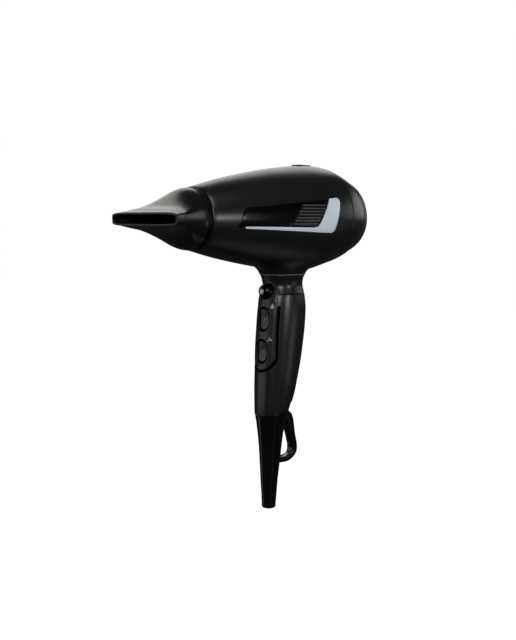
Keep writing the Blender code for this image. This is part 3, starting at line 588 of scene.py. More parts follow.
def surface(
    name,
    colour,
    roughness,
    metallic=0.0,
    variation=0.15,
    rough_spread=0.05,
    grain_scale=2200.0,
    grain_depth=0.00001,
    edge_highlight=0.0,
    gloss=0.45,
):
    """Moulded or machined surface: mottled colour, uneven gloss, fine grain and lighter edges, a painted
    highlight where the surface is pointy.
    """
    material = bpy.data.materials.new(name)
    material.use_nodes = True
    tree = material.node_tree
    shader = tree.nodes["Principled BSDF"]
    shader.inputs["Metallic"].default_value = metallic
    shader.inputs["Specular IOR Level"].default_value = gloss
    broad = mapped(tree, noise(tree, 45.0, 4.0), 0.0, 1.0)
    dark = tuple(channel * (1 - variation) for channel in colour)
    light = tuple(channel * (1 + variation) for channel in colour)
    shown = blend_colours(tree, broad, dark, light)
    if edge_highlight:
        # Lighter colour where the surface is pointy: a painted highlight on convex edges
        geometry = tree.nodes.new("ShaderNodeNewGeometry")
        edge = mapped(tree, geometry.outputs["Pointiness"], 0.0, edge_highlight, 0.52, 0.6)
        shown = blend_colours(tree, edge, shown, tuple(min(1.0, channel * 2.2 + 0.03) for channel in colour))
    tree.links.new(shown, shader.inputs["Base Color"])
    uneven = mapped(tree, noise(tree, 160.0, 5.0, 0.6), roughness - rough_spread, roughness + rough_spread)
    tree.links.new(uneven, shader.inputs["Roughness"])
    grain = bump(tree, noise(tree, grain_scale, 2.0, 0.55), grain_depth)
    tree.links.new(grain, shader.inputs["Normal"])
    return material


def make_looks():
    return {
        "satin": surface("satin_black", (0.0058, 0.0066, 0.0062), 0.29, rough_spread=0.015, grain_depth=1e-6),
        "grip": surface("grip_black", (0.0055, 0.0066, 0.0063), 0.3, rough_spread=0.015, grain_depth=1e-6),
        "gloss": surface(
            "gloss_black", (0.001, 0.001, 0.001), 0.2, rough_spread=0.02, grain_depth=4e-7, gloss=0.22
        ),
        "guard": surface("guard_black", (0.0015, 0.0015, 0.0015), 0.16, rough_spread=0.02, grain_depth=1e-6),
        "control": surface(
            "control_black", (0.01, 0.0112, 0.0108), 0.32, rough_spread=0.02, edge_highlight=0.4, grain_depth=3e-6
        ),
        "nozzle": surface(
            "nozzle_black", (0.004, 0.004, 0.004), 0.24, rough_spread=0.02, edge_highlight=0.4, grain_depth=1e-6
        ),
        "band": surface("band_black", (0.001, 0.001, 0.001), 0.5, grain_depth=2e-6, gloss=0.12),
        # Near-black and without gloss: painted shade, for the strip behind the channel
        "channel": surface("painted_shade_black", (0.0005, 0.0005, 0.0005), 0.8, grain_depth=4e-6, gloss=0.0),
        "plain": surface("plain_black", (0.01, 0.01, 0.01), 0.45, grain_depth=8e-6),
        # Mid grey: a painted highlight, for the lip at the neck joint and the ridges on the rockers
        "seal": surface("highlight_line_grey", (0.14, 0.14, 0.14), 0.4, grain_depth=4e-6),
        "rocker": surface("rocker_black", (0.017, 0.018, 0.018), 0.3, rough_spread=0.02, edge_highlight=0.5),
        "dark": surface("dark_plastic", (0.02, 0.02, 0.021), 0.45, grain_depth=0.00002),
        # Grey: a painted highlight on the louvre bars of the black side panel
        "louvre": surface("louvre_grey", (0.05, 0.052, 0.055), 0.35),
        "silver": surface("silver_trim", (0.66, 0.74, 0.83), 0.34, 0.1, variation=0.03, grain_depth=8e-6),
        "lens": surface("smoked_lens", (0.01, 0.01, 0.012), 0.05, rough_spread=0.02, grain_depth=0.0),
        "print": surface("pale_print", (0.32, 0.33, 0.33), 0.5, grain_depth=4e-6),
        "bright_print": surface("bright_print", (0.8, 0.8, 0.8), 0.5, variation=0.02, grain_depth=4e-6),
        "filter": surface("filter_steel", (0.2, 0.2, 0.2), 0.38, 1.0),
        "plated": surface("plated_steel", (0.5, 0.5, 0.48), 0.3, 1.0),
        "steel": surface("machined_steel", (0.36, 0.36, 0.37), 0.33, 1.0),
        "copper": surface("copper_winding", (0.46, 0.17, 0.07), 0.35, 0.9, grain_scale=900.0),
        "brass": surface("brass", (0.55, 0.4, 0.15), 0.33, 1.0),
        "duct": surface("duct_plastic", (0.03, 0.03, 0.032), 0.55),
        "rubber": surface("black_rubber", (0.012, 0.012, 0.012), 0.8, grain_depth=0.00003),
        "mica": surface("mica_board", (0.4, 0.34, 0.25), 0.6, variation=0.3, grain_scale=700.0),
        "wire": surface("resistance_wire", (0.28, 0.25, 0.23), 0.45, 1.0, variation=0.3),
        "ceramic": surface("white_ceramic", (0.74, 0.73, 0.69), 0.4, variation=0.05),
        "board": surface("circuit_board", (0.02, 0.11, 0.04), 0.35, variation=0.25, grain_scale=500.0),
        "sleeve": surface("cable_sleeve", (0.35, 0.32, 0.28), 0.75, grain_scale=1200.0, grain_depth=0.00005),
    }


# Barrel


def barrel_layer(name, start, end, inner, outer, material=None):
    stations = spread(start, end, STATION)
    profile = [(barrel_radius(a) + outer, a) for a in stations]
    profile += [(barrel_radius(a) + inner, a) for a in reversed(stations)]
    return turned(name, profile, material, BARREL_STEPS)


def barrel_point(x, along):
    """The point straight below on the barrel's lower surface, sunk a little under it."""
    radius = barrel_radius(along) - FLARE_SINK
    share = min(max((along - TUCK_START) / (TUCK_END - TUCK_START), 0.0), 1.0)
    height = math.sqrt(radius**2 - x**2) * (1 - TUCK_SHARE * share**2 * (3 - 2 * share))
    return Vector((x, along, -height))


def flare_rings():
    """Rings from the neck's top edge, curving out until they run along the barrel's underside."""
    levels = 14
    rings = [[] for _ in range(levels + 1)]
    neck = handle_ring(NECK_TOP)
    lower = handle_ring(NECK_TOP - 1.5)
    for k, (x, y, z) in enumerate(neck):
        start = Vector((x, y, z))
        leaving = (start - Vector(lower[k])).normalized()
        turn = 2 * math.pi * k / len(neck)
        foot_x = FLARE_HALF_X * math.cos(turn)
        foot_y = HANDLE_Y + FLARE_HALF_Y * math.sin(turn)
        end = barrel_point(foot_x, foot_y)
        nearer = barrel_point(foot_x * 0.97, HANDLE_Y + (foot_y - HANDLE_Y) * 0.97)
        arriving = (nearer - end).normalized()
        reach = (end - start).length * FLARE_REACH
        first = start + leaving * reach
        second = end + arriving * reach
        for j in range(levels + 1):
            t = j / levels
            point = (
                start * (1 - t) ** 3
                + first * 3 * t * (1 - t) ** 2
                + second * 3 * t**2 * (1 - t)
                + end * t**3
            )
            rings[j].append(tuple(point))
    top = [(x * 0.9, HANDLE_Y + (y - HANDLE_Y) * 0.9, z + 6.0) for x, y, z in rings[-1]]
    return rings + [top]


def side_sign(word):
    return 1.0 if word == "left" else -1.0


def trim_outline(margin=0.0):
    """The silver J: a thin bar below the panel and a wide upright behind it."""
    corners = [
        (28.2, -5.9),
        (61.0, -6.4),
        (98.0, -7.1),
        *TRIM_INNER,
        (130.2, 18.2),
        (120.6, -11.9),
        (61.0, -9.0),
        (28.3, -7.5),
    ]
    radii = [0, 0, 4.0, 0, 0, 0, 0, 0, 0, 3.2, 5.0, 0, 0]
    outline = rounded(corners, radii, 8)
    return outline if margin == 0 else offset(outline, margin)


def panel_outline():
    corners = [(20.5, -6.4), (28.2, 8.4), (60.0, 11.1), (90.0, 13.8), (116.5, 16.2)]
    corners += [(a - 0.35, b + 0.1) for a, b in reversed(TRIM_INNER[:-1])]
    corners += [(97.8, -6.7), (61.0, -6.0), (28.1, -5.5), (27.4, -6.2)]
    radii = [1.0, 4.0] + [0] * (len(corners) - 2)
    return rounded(corners, radii, 8)


def offset(outline, margin):
    """Outline moved outwards by a margin."""
    count = len(outline)
    area = sum(
        outline[i][0] * outline[(i + 1) % count][1] - outline[(i + 1) % count][0] * outline[i][1]
        for i in range(count)
    )
    outward = margin if area > 0 else -margin
    result = []
    for i in range(count):
        before = Vector(outline[i]) - Vector(outline[i - 1])
        after = Vector(outline[(i + 1) % count]) - Vector(outline[i])
        normals = [Vector((v.y, -v.x)).normalized() for v in (before, after) if v.length > 0]
        normal = sum(normals, Vector((0.0, 0.0))).normalized()
        result.append(tuple(Vector(outline[i]) + normal * outward))
    return result


def side_prism(name, outline, word):
    sign = side_sign(word)
    return prism(name, outline, "X", SIDE_NEAR * sign, SIDE_FAR * sign)


def louvre_spans(margin):
    """For each louvre: where it starts and ends along the barrel, and its lowest and highest point."""
    spans = []
    for i in range(LOUVRE_COUNT):
        z = LOUVRE_TOP_Z - LOUVRE_PITCH * i
        start = LOUVRE_FIRST_START + LOUVRE_SLANT * (z - LOUVRE_TOP_Z)
        end = interpolate([(b, a) for a, b in TRIM_INNER], z)[0] - LOUVRE_END_GAP
        half = LOUVRE_HEIGHT / 2
        spans.append((start - margin, end + margin, z - half - margin, z + half + margin))
    return spans


def louvre_boxes(name, margin, word):
    near, far = sorted(side_sign(word) * x for x in (SIDE_NEAR, SIDE_FAR))
    spans = louvre_spans(margin)
    return boxes(name, [((near, start, low), (far, end, high)) for start, end, low, high in spans])


def build_housing(look):
    stations = spread(0.6, HOUSING_LENGTH, STATION)
    mouth = barrel_radius(0.0)
    profile = [(0.0, 0.0), (mouth - 0.3, 0.0), (mouth, 0.3), (mouth, 0.36)]
    profile += [(barrel_radius(a), a) for a in stations]
    profile.append((0.0, HOUSING_LENGTH))
    housing = tuck(turned("barrel_housing", profile, look["satin"], BARREL_STEPS))
    combine(housing, loft("flare", flare_rings(), None), "UNION")
    hollow_housing(housing)
    cut_pockets(housing)
    shade(housing.data)
    stand_for(housing, BODY, "housing")


def hollow_housing(housing):
    """Opens the barrel from end to end, and the neck down into the handle."""
    inner = [(0.0, -1.0), (barrel_radius(0.0) - WALL, -1.0)]
    inner += [(barrel_radius(a) - WALL, a) for a in spread(0.0, HOUSING_LENGTH, STATION * 2)]
    inner += [(barrel_radius(HOUSING_LENGTH) - WALL, HOUSING_LENGTH + 1.0), (0.0, HOUSING_LENGTH + 1.0)]
    combine(housing, tuck(turned("hollow", inner, None, 96)), "DIFFERENCE")
    neck = [handle_ring(z, WALL) for z in (-43.0, NECK_TOP)]
    neck.insert(0, [(x, y, -36.0) for x, y, z in neck[0]])
    neck.append([(x, y, NECK_TOP - 2.0) for x, y, z in neck[-1]])
    combine(housing, loft("neck_hollow", neck, None), "DIFFERENCE")


def cut_pockets(housing):
    """Recesses for the side panels, their trim and the indicator lens."""
    start = SIDE_START - POCKET_MARGIN
    end = SIDE_END + POCKET_MARGIN
    for word in ("left", "right"):
        for outline in (offset(panel_outline(), GAP), trim_outline(GAP)):
            pocket = barrel_layer("pocket", start, end, -POCKET_DEPTH, 3.0)
            combine(pocket, side_prism("outline", outline, word), "INTERSECT")
            combine(housing, pocket, "DIFFERENCE")
    combine(housing, boxes("lens_pocket", [LENS_POCKET]), "DIFFERENCE")


def build_side(look, word):
    stretch = (SIDE_START, SIDE_END)
    panel = barrel_layer(f"glossy_panel_{word}", *stretch, -PANEL_THICKNESS, 0.0, look["gloss"])
    combine(panel, side_prism("outline", panel_outline(), word), "INTERSECT")
    combine(panel, louvre_boxes("slots", 0.25, word), "DIFFERENCE")
    soften(panel, 0.15, 2)
    stand_for(panel, BODY, f"side_panel_{word}")
    trim = barrel_layer(f"silver_trim_{word}", *stretch, -PANEL_THICKNESS, 0.5, look["silver"])
    combine(trim, side_prism("outline", trim_outline(), word), "INTERSECT")
    soften(trim, 0.3, 3)
    stand_for(trim, BODY, f"side_trim_{word}")
    # The bars take the grey louvre surface, a painted highlight
    bars = barrel_layer(f"louvre_bars_{word}", 60.0, 120.0, -1.45, 0.3, look["louvre"])
    combine(bars, louvre_boxes("bars", 0.0, word), "INTERSECT")
    soften(bars, 0.2, 2)
    stand_for(bars, BODY, f"side_louvre_{word}")


def build_lens(look):
    outline = rounded([(-4.3, 44.9), (4.3, 44.9), (4.1, 46.9), (-4.1, 46.9)], [0, 0, 0.7, 0.7], 5)
    lens = prism("indicator_window", outline, "Y", 121.1, 137.9, look["lens"])
    soften(lens, 0.35, 3)
    stand_for(lens, BODY, "indicator_lens")


def build_rear(look):
    outer = [(barrel_radius(a), a) for a in spread(HOUSING_LENGTH + 0.9, COVER_END, 2.0)]
    start = [(43.1, 142.0), (43.1, HOUSING_LENGTH + GAP)]
    start.append((barrel_radius(HOUSING_LENGTH) - 0.3, HOUSING_LENGTH + GAP))
    lip = [(33.6, COVER_END), (33.6, 168.6)]
    inner = [(36.6, 168.6), (39.0, 162.0), (41.0, 156.0), (41.6, 148.0), (41.6, 142.0)]
    cover = tuck(turned("rear_cap", start + outer + lip + inner, look["satin"], BARREL_STEPS))
    stand_for(cover, BODY, "rear_cover")


def slot_ring(name, inner, outer, count):
    """Round-ended radial slots set evenly round the barrel axis, as one cutter."""
    work = bmesh.new()
    centre = (inner + outer) / 2
    outline = [(z, x) for x, z in capsule(SLOT_HALF_WIDTH, (outer - inner) / 2, centre, 6)]
    for i in range(count):
        turn = Matrix.Rotation(math.radians(360.0 * i / count), 3, "Y")
        ends = []
        for along in SLOT_CUT:
            ends.append([work.verts.new(to_world(turn @ Vector((x, along, z)))) for x, z in outline])
        join_ends(work, ends)
    return finish_mesh(work, name, None)


def build_rear_grille(look):
    rim = [(33.2, 166.0), (33.2, 171.3), (37.1, 171.3), (37.5, 171.7)]
    rim += [(barrel_radius(a) - 0.1, a) for a in spread(173.0, 179.0, 1.0)]
    rim += [(34.6, 180.2), (33.9, 181.1), (32.8, 181.8), (31.3, 182.0)]
    face = [(30.6, 181.7), (30.2, 181.2), (17.6, 181.2), (17.2, 181.6), (16.4, 181.6), (16.0, 181.2)]
    face += [(5.6, 181.2), (5.2, 181.7), (0.0, 181.9)]
    back = [(0.0, 180.0), (30.6, 180.0), (31.7, 178.4), (31.7, 166.0)]
    grille = turned("intake_grille", face[::-1] + rim[::-1] + back[:0:-1] + back[:1], look["dark"], 144)
    for inner, outer, count in GRILLE_SLOTS:
        combine(grille, slot_ring("slots", inner, outer, count), "DIFFERENCE")
    shade(tuck(grille).data)
    stand_for(grille, "rear_grille", "rear_grille")


def tube(points, radius, sides, rows, faces):
    """Adds an open round tube along the points to lists of vertices and faces."""
    first = len(rows)
    for i, point in enumerate(points):
        ahead = Vector(points[min(i + 1, len(points) - 1)]) - Vector(points[max(i - 1, 0)])
        across = ahead.cross(Vector((0.0, 1.0, 0.0))).normalized()
        over = across.cross(ahead).normalized()
        for k in range(sides):
            turn = 2 * math.pi * k / sides
            rows.append(Vector(point) + (across * math.cos(turn) + over * math.sin(turn)) * radius)
    for i in range(len(points) - 1):
        for k in range(sides):
            n = (k + 1) % sides
            a = first + i * sides
            b = a + sides
            faces.append((a + k, b + k, b + n, a + n))
    faces.append(tuple(first + k for k in range(sides)))
    faces.append(tuple(first + (len(points) - 1) * sides + k for k in reversed(range(sides))))


def wire_points(index, across):
    """Waving path of one wire of the weave, which runs along X if across is true and along Z if not."""
    place = index * MESH_PITCH
    reach = math.sqrt(MESH_RADIUS**2 - place**2)
    steps = int(reach / MESH_PITCH * 2)
    points = []
    for k in range(-steps, steps + 1):
        at = k * MESH_PITCH / 2
        wave = math.cos(math.pi * at / MESH_PITCH) * MESH_WAVE * (-1) ** index
        if across:
            points.append((at, MESH_PLANE + wave, place))
        else:
            points.append((place, MESH_PLANE - wave, at))
    return points


def build_dust_filter(look):
    """Woven wire disc in a turned rim."""
    profile = [(31.4, 177.0), (31.4, 174.5), (29.9, 174.5), (29.9, 177.0)]
    rim = tuck(turned("filter_rim", profile, look["filter"], 96))
    stand_for(rim, "rear_grille", "dust_filter")
    rows = []
    faces = []
    count = int(MESH_RADIUS / MESH_PITCH)
    for across in (True, False):
        for i in range(-count, count + 1):
            points = wire_points(i, across)
            if len(points) > 2:
                tube(points, MESH_WIRE, 5, rows, faces)
    mesh = bpy.data.meshes.new("filter_weave")
    mesh.from_pydata([to_world(row) for row in rows], [], faces)
    shade(mesh)
    weave = tuck(new_object("filter_weave", mesh, look["filter"]))
    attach(weave, "rear_grille")


def build_outlet_ring(look):
    profile = [(20.8, -4.2), (24.2, -4.2), (24.55, -4.05), (24.7, -3.7), (24.7, -0.8), (24.55, -0.45)]
    profile += [(24.2, -0.3), (22.6, -0.3), (22.6, 9.0), (20.8, 9.0)]
    ring = turned("outlet_band", profile, look["band"], 128)
    stand_for(ring, BODY, "outlet_ring")


def build_outlet_guard(look):
    """Two hoops and a hub held in the outlet by crossed arms."""
    guard = turned("outlet_guard", [(23.0, 9.4), (24.4, 9.4), (24.4, 12.4), (23.0, 12.4)], look["plated"])
    for radius in (16.0, 9.0):
        hoop = [(radius, 9.8), (radius + 1.4, 9.8), (radius + 1.4, 12.0), (radius, 12.0)]
        combine(guard, turned("hoop", hoop, None), "UNION")
    for turn in (45.0, 135.0):
        arm = boxes("arm", [((-23.7, 10.2, -0.6), (23.7, 11.6, 0.6))])
        centre = Matrix.Translation(to_world((0.0, 0.0, 0.0)))
        arm.data.transform(centre @ Matrix.Rotation(math.radians(turn), 4, "Y") @ centre.inverted())
        combine(guard, arm, "UNION")
    combine(guard, turned("hub", [(0.0, 9.9), (3.0, 9.9), (3.0, 11.9), (0.0, 11.9)], None, 48), "UNION")
    soften(guard, 0.2, 2)
    stand_for(guard, BODY, "outlet_grille")


# Nozzle


def nozzle_ring(along, inset=0.0):
    half_x, half_z, power = interpolate(NOZZLE_SECTIONS, along)
    outline = superellipse(half_x - inset, half_z - inset, power, NOZZLE_COUNT)
    return [(x, along, z) for x, z in outline]


def build_nozzle(look):
    front = NOZZLE_SECTIONS[0][0]
    rear = NOZZLE_SECTIONS[-1][0]
    half = NOZZLE_WALL / 2
    rings = []
    for k in range(7):
        turn = math.pi * k / 6
        inset = half - half * math.cos(turn)
        rings.append(nozzle_ring(front + half * 0.7 * (1 - math.sin(turn)), inset))
    rings += [nozzle_ring(a, NOZZLE_WALL) for a in spread(front + 1.2, rear - 0.3, 1.0)]
    rings += [nozzle_ring(rear, NOZZLE_WALL), nozzle_ring(rear, 0.3)]
    rings += [nozzle_ring(a) for a in spread(rear - 0.3, front + 1.2, 0.6)]
    nozzle = loft("air_nozzle", rings, look["nozzle"], closed=True)
    stand_for(nozzle, "nozzle", "nozzle")
    profile = [(19.0, -9.0), (21.9, -9.0), (21.9, -4.8), (20.4, -4.6), (20.4, 7.0), (19.0, 7.0)]
    collar = turned("nozzle_socket", profile, look["plain"])
    stand_for(collar, "nozzle_collar", "nozzle_collar")


# Handle and controls


def panel_prism(margin):
    half_length = (PANEL_TOP - PANEL_BOTTOM) / 2 + margin
    outline = capsule(PANEL_HALF_WIDTH + margin, half_length, (PANEL_TOP + PANEL_BOTTOM) / 2, 24)
    return prism("panel_prism", outline, "Y", 60.0, 100.0)


def build_neck_collar(look):
    top = NECK_TOP - GAP
    levels = spread(top - 0.9, COLLAR_BOTTOM + 0.3, 1.2)
    outer = [handle_ring(top - 0.5, 0.2)] + [handle_ring(z, -0.1) for z in levels]
    outer.append(handle_ring(COLLAR_BOTTOM, 0.2))
    inner = [handle_ring(z, HANDLE_WALL) for z in spread(COLLAR_BOTTOM, top - 0.5, 2.0)]
    collar = loft("neck_ring", outer + inner, look["satin"], closed=True)
    combine(collar, panel_prism(PANEL_GAP), "DIFFERENCE")
    shade(collar.data)
    stand_for(collar, BODY, "neck_collar")


def build_neck_highlight_line(look):
    """Thin grey line between the neck ring and the barrel's underside: a painted highlight along the joint.
    """
    top = NECK_TOP - GAP
    rings = [handle_ring(top + up, inset) for up, inset in HIGHLIGHT_LINE_SECTION]
    seal = loft("neck_highlight_line", rings, look["seal"], closed=True)
    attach(seal, BODY)


def groove_cutter():
    """Cutter for the channel, through the grip's wall beside and below the control panel."""
    levels = spread(GROOVE_TOP, PANEL_BOTTOM - 2 * GROOVE_WIDTH, 2.5)
    outer = [handle_ring(z, -1.0) for z in levels]
    inner = [handle_ring(z, HANDLE_WALL + 0.3) for z in levels]
    channel = loft("channel", outer + inner[::-1], None, closed=True)
    return combine(channel, panel_prism(GROOVE_WIDTH), "INTERSECT")


def build_channel_shade_strip(look):
    """Dark U-shaped strip behind the channel beside the control panel: painted shade for the channel's
    shadow.
    """
    levels = spread(GROOVE_TOP + STRIP_RISE, PANEL_BOTTOM - 3 * GROOVE_WIDTH, 2.5)
    outer = [handle_ring(z, HANDLE_WALL + STRIP_NEAR) for z in levels]
    inner = [handle_ring(z, HANDLE_WALL + STRIP_FAR) for z in levels]
    strip = loft("channel_shade_strip", outer + inner[::-1], look["channel"], closed=True)
    combine(strip, panel_prism(GROOVE_WIDTH + STRIP_OVERLAP), "INTERSECT")
    combine(strip, panel_prism(-PANEL_GAP), "DIFFERENCE")
    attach(strip, BODY)


def build_handle(look):
    top = COLLAR_BOTTOM - GAP
    outer = [handle_ring(top, 0.3)] + [handle_ring(z) for z in spread(top - 0.4, PLUG_TOP, 2.5)]
    outer += [handle_ring(z, 0.0, SEAM_SLOPE) for z in (-161.5, SEAM_Z + GAP + 0.3)]
    outer.append(handle_ring(SEAM_Z + GAP, 0.3, SEAM_SLOPE))
    inner = [handle_ring(SEAM_Z + GAP, HANDLE_WALL, SEAM_SLOPE)]
    inner += [handle_ring(z, HANDLE_WALL) for z in spread(PLUG_TOP, -70.0, 6.0)]
    sleeve = [handle_ring(z, HANDLE_WALL + 2.4) for z in (-68.0, -64.0, -57.0, -50.0, -44.5)]
    sleeve += [handle_ring(z, HANDLE_WALL + 0.8) for z in (-44.5, -50.0, -57.0, top)]
    handle = loft("grip", outer + inner + sleeve, look["grip"], closed=True)
    combine(handle, panel_prism(PANEL_GAP), "DIFFERENCE")
    combine(handle, groove_cutter(), "DIFFERENCE")
    shade(handle.data)
    stand_for(handle, BODY, "handle_shell")


def build_control_panel(look):
    levels = spread(-48.0, -136.0, 1.5)
    panel = loft("switch_panel", [handle_ring(z, -PANEL_PROUD) for z in levels], look["control"])
    combine(panel, panel_prism(0.0), "INTERSECT")
    hollow = [handle_ring(z, 2.0) for z in spread(-46.0, -140.0, 2.0)]
    combine(panel, loft("hollow", hollow, None), "DIFFERENCE")
    bore = [(0.0, 70.0), (BUTTON_RADIUS + 0.4, 70.0), (BUTTON_RADIUS + 0.4, 96.0), (0.0, 96.0)]
    combine(panel, turned("bore", bore, None, 64, (0.0, BUTTON_Z)), "DIFFERENCE")
    for z in (HEAT_Z, SPEED_Z):
        outline = capsule(ROCKER_HALF_WIDTH + ROCKER_MARGIN, ROCKER_HALF_LENGTH + ROCKER_MARGIN, z, 20)
        combine(panel, prism("opening", outline, "Y", 60.0, 96.0), "DIFFERENCE")
    soften(panel, 0.35, 3, 50.0)
    stand_for(panel, BODY, "control_panel")


def build_button(look):
    profile = [(0.0, BUTTON_RIM - BUTTON_DOME)]
    for k in range(1, 17):
        turn = math.radians(90.0 * k / 16)
        profile.append((BUTTON_RADIUS * math.sin(turn), BUTTON_RIM - BUTTON_DOME * math.cos(turn)))
    profile += [(BUTTON_RADIUS, 91.7), (7.7, 91.7), (7.7, 93.1), (3.6, 93.1), (3.6, 86.0), (0.0, 86.0)]
    button = turned("cool_shot_button", profile, look["gloss"], 64, (0.0, BUTTON_Z))
    stand_for(button, "cool_button", "cool_button")


def build_rocker(look, word, z):
    face = handle_front(0.0, z)
    front = face + ROCKER_SINK
    outline = capsule(ROCKER_HALF_WIDTH - ROCKER_INSET, ROCKER_HALF_LENGTH - ROCKER_INSET, z, 20)
    rocker = prism(f"{word}_switch_cap", outline, "Y", front, front + ROCKER_DEPTH, look["rocker"])
    centre_y = front + DISH_DEPTH - DISH_RADIUS
    dish = [(centre_y, z - DISH_REACH), (centre_y, z + DISH_REACH)]
    for k in range(41):
        turn = math.radians(DISH_ANGLE - DISH_STEP * k)
        dish.append((centre_y + DISH_RADIUS * math.cos(turn), z + DISH_RADIUS * math.sin(turn)))
    combine(rocker, prism("dish", dish, "X", -8.0, 8.0), "DIFFERENCE")
    soften(rocker, 0.8, 4)
    stand_for(rocker, f"{word}_rocker", f"{word}_rocker")
    half = TICK_HALF_WIDTH
    ticks = [((-half, front + 1.3, z - 2.4), (half, front + 2.2, z + 1.0))]
    ticks.append(((-half, front + 0.3, z + 5.0), (half, front + 1.2, z + 6.6)))
    # The ridges are mid grey: a painted highlight down the middle of the cap
    marks = boxes(f"{word}_switch_ridges", ticks, look["seal"])
    soften(marks, 0.12, 2)
    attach(marks, f"{word}_rocker")


def smooth_open(points, per_span):
    """Open curve that passes smoothly through the points."""
    result = []
    count = len(points)
    for i in range(count - 1):
        picks = (max(i - 1, 0), i, i + 1, min(i + 2, count - 1))
        before, start, end, after = (Vector(points[k]) for k in picks)
        for j in range(per_span):
            t = j / per_span
            result.append(
                0.5
                * (
                    2 * start
                    + (end - before) * t
                    + (2 * before - 5 * start + 4 * end - after) * t**2
                    + (3 * start - before - 3 * end + after) * t**3
                )
            )
    result.append(Vector(points[-1]))
    return [tuple(point) for point in result]


def guard_bore():
    rows = [
        (-155.0, 10.5, 12.5),
        (-166.0, 9.6, 11.2),
        (-178.0, 7.8, 7.8),
        (-192.0, 6.4, 6.4),
        (-214.0, 5.0, 5.0),
        (-232.0, 4.1, 4.1),
        (-254.0, 3.9, 3.9),
    ]
    rings = []
    for z in spread(-155.0, -254.0, 3.0):
        half_x, half_y = interpolate(rows, z)
        centre = handle_section(z)[0]
        rings.append([(x, centre + y, z) for x, y in superellipse(half_x, half_y, 2.0, 48)])
    return loft("cord_bore", rings, None)


def build_guard(look):
    plug = [handle_ring(PLUG_TOP, HANDLE_WALL + 0.6)]
    plug.append(handle_ring(SEAM_Z, HANDLE_WALL + 0.6, SEAM_SLOPE))
    shoulder = [handle_ring(SEAM_Z, 0.35, SEAM_SLOPE), handle_ring(SEAM_Z - 0.35, 0.0, SEAM_SLOPE * 0.97)]
    shoulder += [handle_ring(-171.5, 0.0, 0.06)]
    body = [handle_ring(z) for z in spread(-177.0, GUARD_BOTTOM + 2.6, 2.0)]
    lip = [handle_ring(GUARD_BOTTOM + 1.8, -0.1), handle_ring(GUARD_BOTTOM + 0.9, -0.05)]
    lip += [handle_ring(GUARD_BOTTOM + 0.3, 0.25), handle_ring(GUARD_BOTTOM, 0.7)]
    guard = loft("strain_relief", plug + shoulder + body + lip, look["guard"])
    outline = smooth_open(LOOP_OUTER, 7) + smooth_open(LOOP_INNER, 7)
    strap = prism("strap", outline, "X", -LOOP_HALF_WIDTH, LOOP_HALF_WIDTH, look["guard"])
    soften(strap, 0.6, 3, 60.0)
    combine(guard, strap, "UNION")
    combine(guard, guard_bore(), "DIFFERENCE")
    shade(guard.data)
    stand_for(guard, BODY, "cord_guard")


# Printed marks


def mark(name, shapes, front, material, body):
    """Thin raised print: flat (x, z) shapes laid on the surface whose place along Y front(x, z) gives."""
    work = bmesh.new()
    for shape in shapes:
        flat = [Vector(point) for point in shape]
        centre = sum(flat, Vector((0.0, 0.0))) / len(flat)
        layers = []
        for depth in (MARK_SINK, -MARK_PROUD):
            rim = [work.verts.new(to_world((x, front(x, z) + depth, z))) for x, z in flat]
            hub = work.verts.new(to_world((centre.x, front(centre.x, centre.y) + depth, centre.y)))
            layers.append((rim, hub))
        for k in range(len(flat)):
            n = (k + 1) % len(flat)
            for rim, hub in layers:
                work.faces.new((rim[k], rim[n], hub))
            work.faces.new((layers[0][0][k], layers[0][0][n], layers[1][0][n], layers[1][0][k]))
    obj = finish_mesh(work, name, material, 60.0)
    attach(obj, body)


def bar(centre, length, width, turn):
    """A thin bar that starts at a centre and points outwards at an angle in degrees."""
    along = Vector((math.cos(math.radians(turn)), math.sin(math.radians(turn))))
    side = Vector((-along.y, along.x)) * width / 2
    start = Vector(centre)
    end = start + along * length
    middle = start + along * length / 2
    corners = (start - side, middle - side, end - side, end + side, middle + side, start + side)
    return [tuple(corner) for corner in corners]


def snowflake(centre, size):
    shapes = []
    for k in range(6):
        turn = 30.0 + 60.0 * k
        shapes.append(bar(centre, size, size * 0.16, turn))
        arm = Vector((math.cos(math.radians(turn)), math.sin(math.radians(turn)))) * size * 0.62
        for side in (-45.0, 45.0):
            shapes.append(bar(Vector(centre) + arm, size * 0.36, size * 0.13, turn + side))
    return shapes


def flame(centre, size):
    """Drop with a pointed top."""
    points = []
    for k in range(24):
        turn = 2 * math.pi * k / 24
        lift = max(0.0, math.sin(turn)) ** 3
        points.append(
            (
                centre[0] + size * 0.42 * math.cos(turn) * (1 - 0.55 * lift),
                centre[1] + size * (0.5 * math.sin(turn) + 0.45 * lift),
            )
        )
    return [points]


def fan_blades(centre, size):
    """Three rounded blades round a hub."""
    shapes = []
    for k in range(3):
        turn = math.radians(90.0 + 120.0 * k)
        along = Vector((math.cos(turn), math.sin(turn)))
        side = Vector((-along.y, along.x))
        middle = Vector(centre) + along * size * 0.56 + side * size * 0.14
        blade = []
        for i in range(14):
            t = 2 * math.pi * i / 14
            blade.append(tuple(middle + along * size * 0.42 * math.cos(t) + side * size * 0.27 * math.sin(t)))
        shapes.append(blade)
    return shapes


def build_marks(look):
    def on_panel(x, z):
        return handle_front(x, z, -PANEL_PROUD)

    def on_button(x, z):
        reach = min(1.0, math.hypot(x, z - BUTTON_Z) / BUTTON_RADIUS)
        return BUTTON_RIM - BUTTON_DOME * math.sqrt(1 - reach**2)

    mark("heat_mark", flame((7.9, HEAT_Z + 10.7), 3.3), on_panel, look["print"], BODY)
    mark("speed_mark", fan_blades((7.9, SPEED_Z + 10.6), 2.0), on_panel, look["print"], BODY)
    mark("cool_mark", snowflake((0.0, BUTTON_Z), 2.5), on_button, look["bright_print"], "cool_button")


# Surfaces of the inner pieces, and the studio


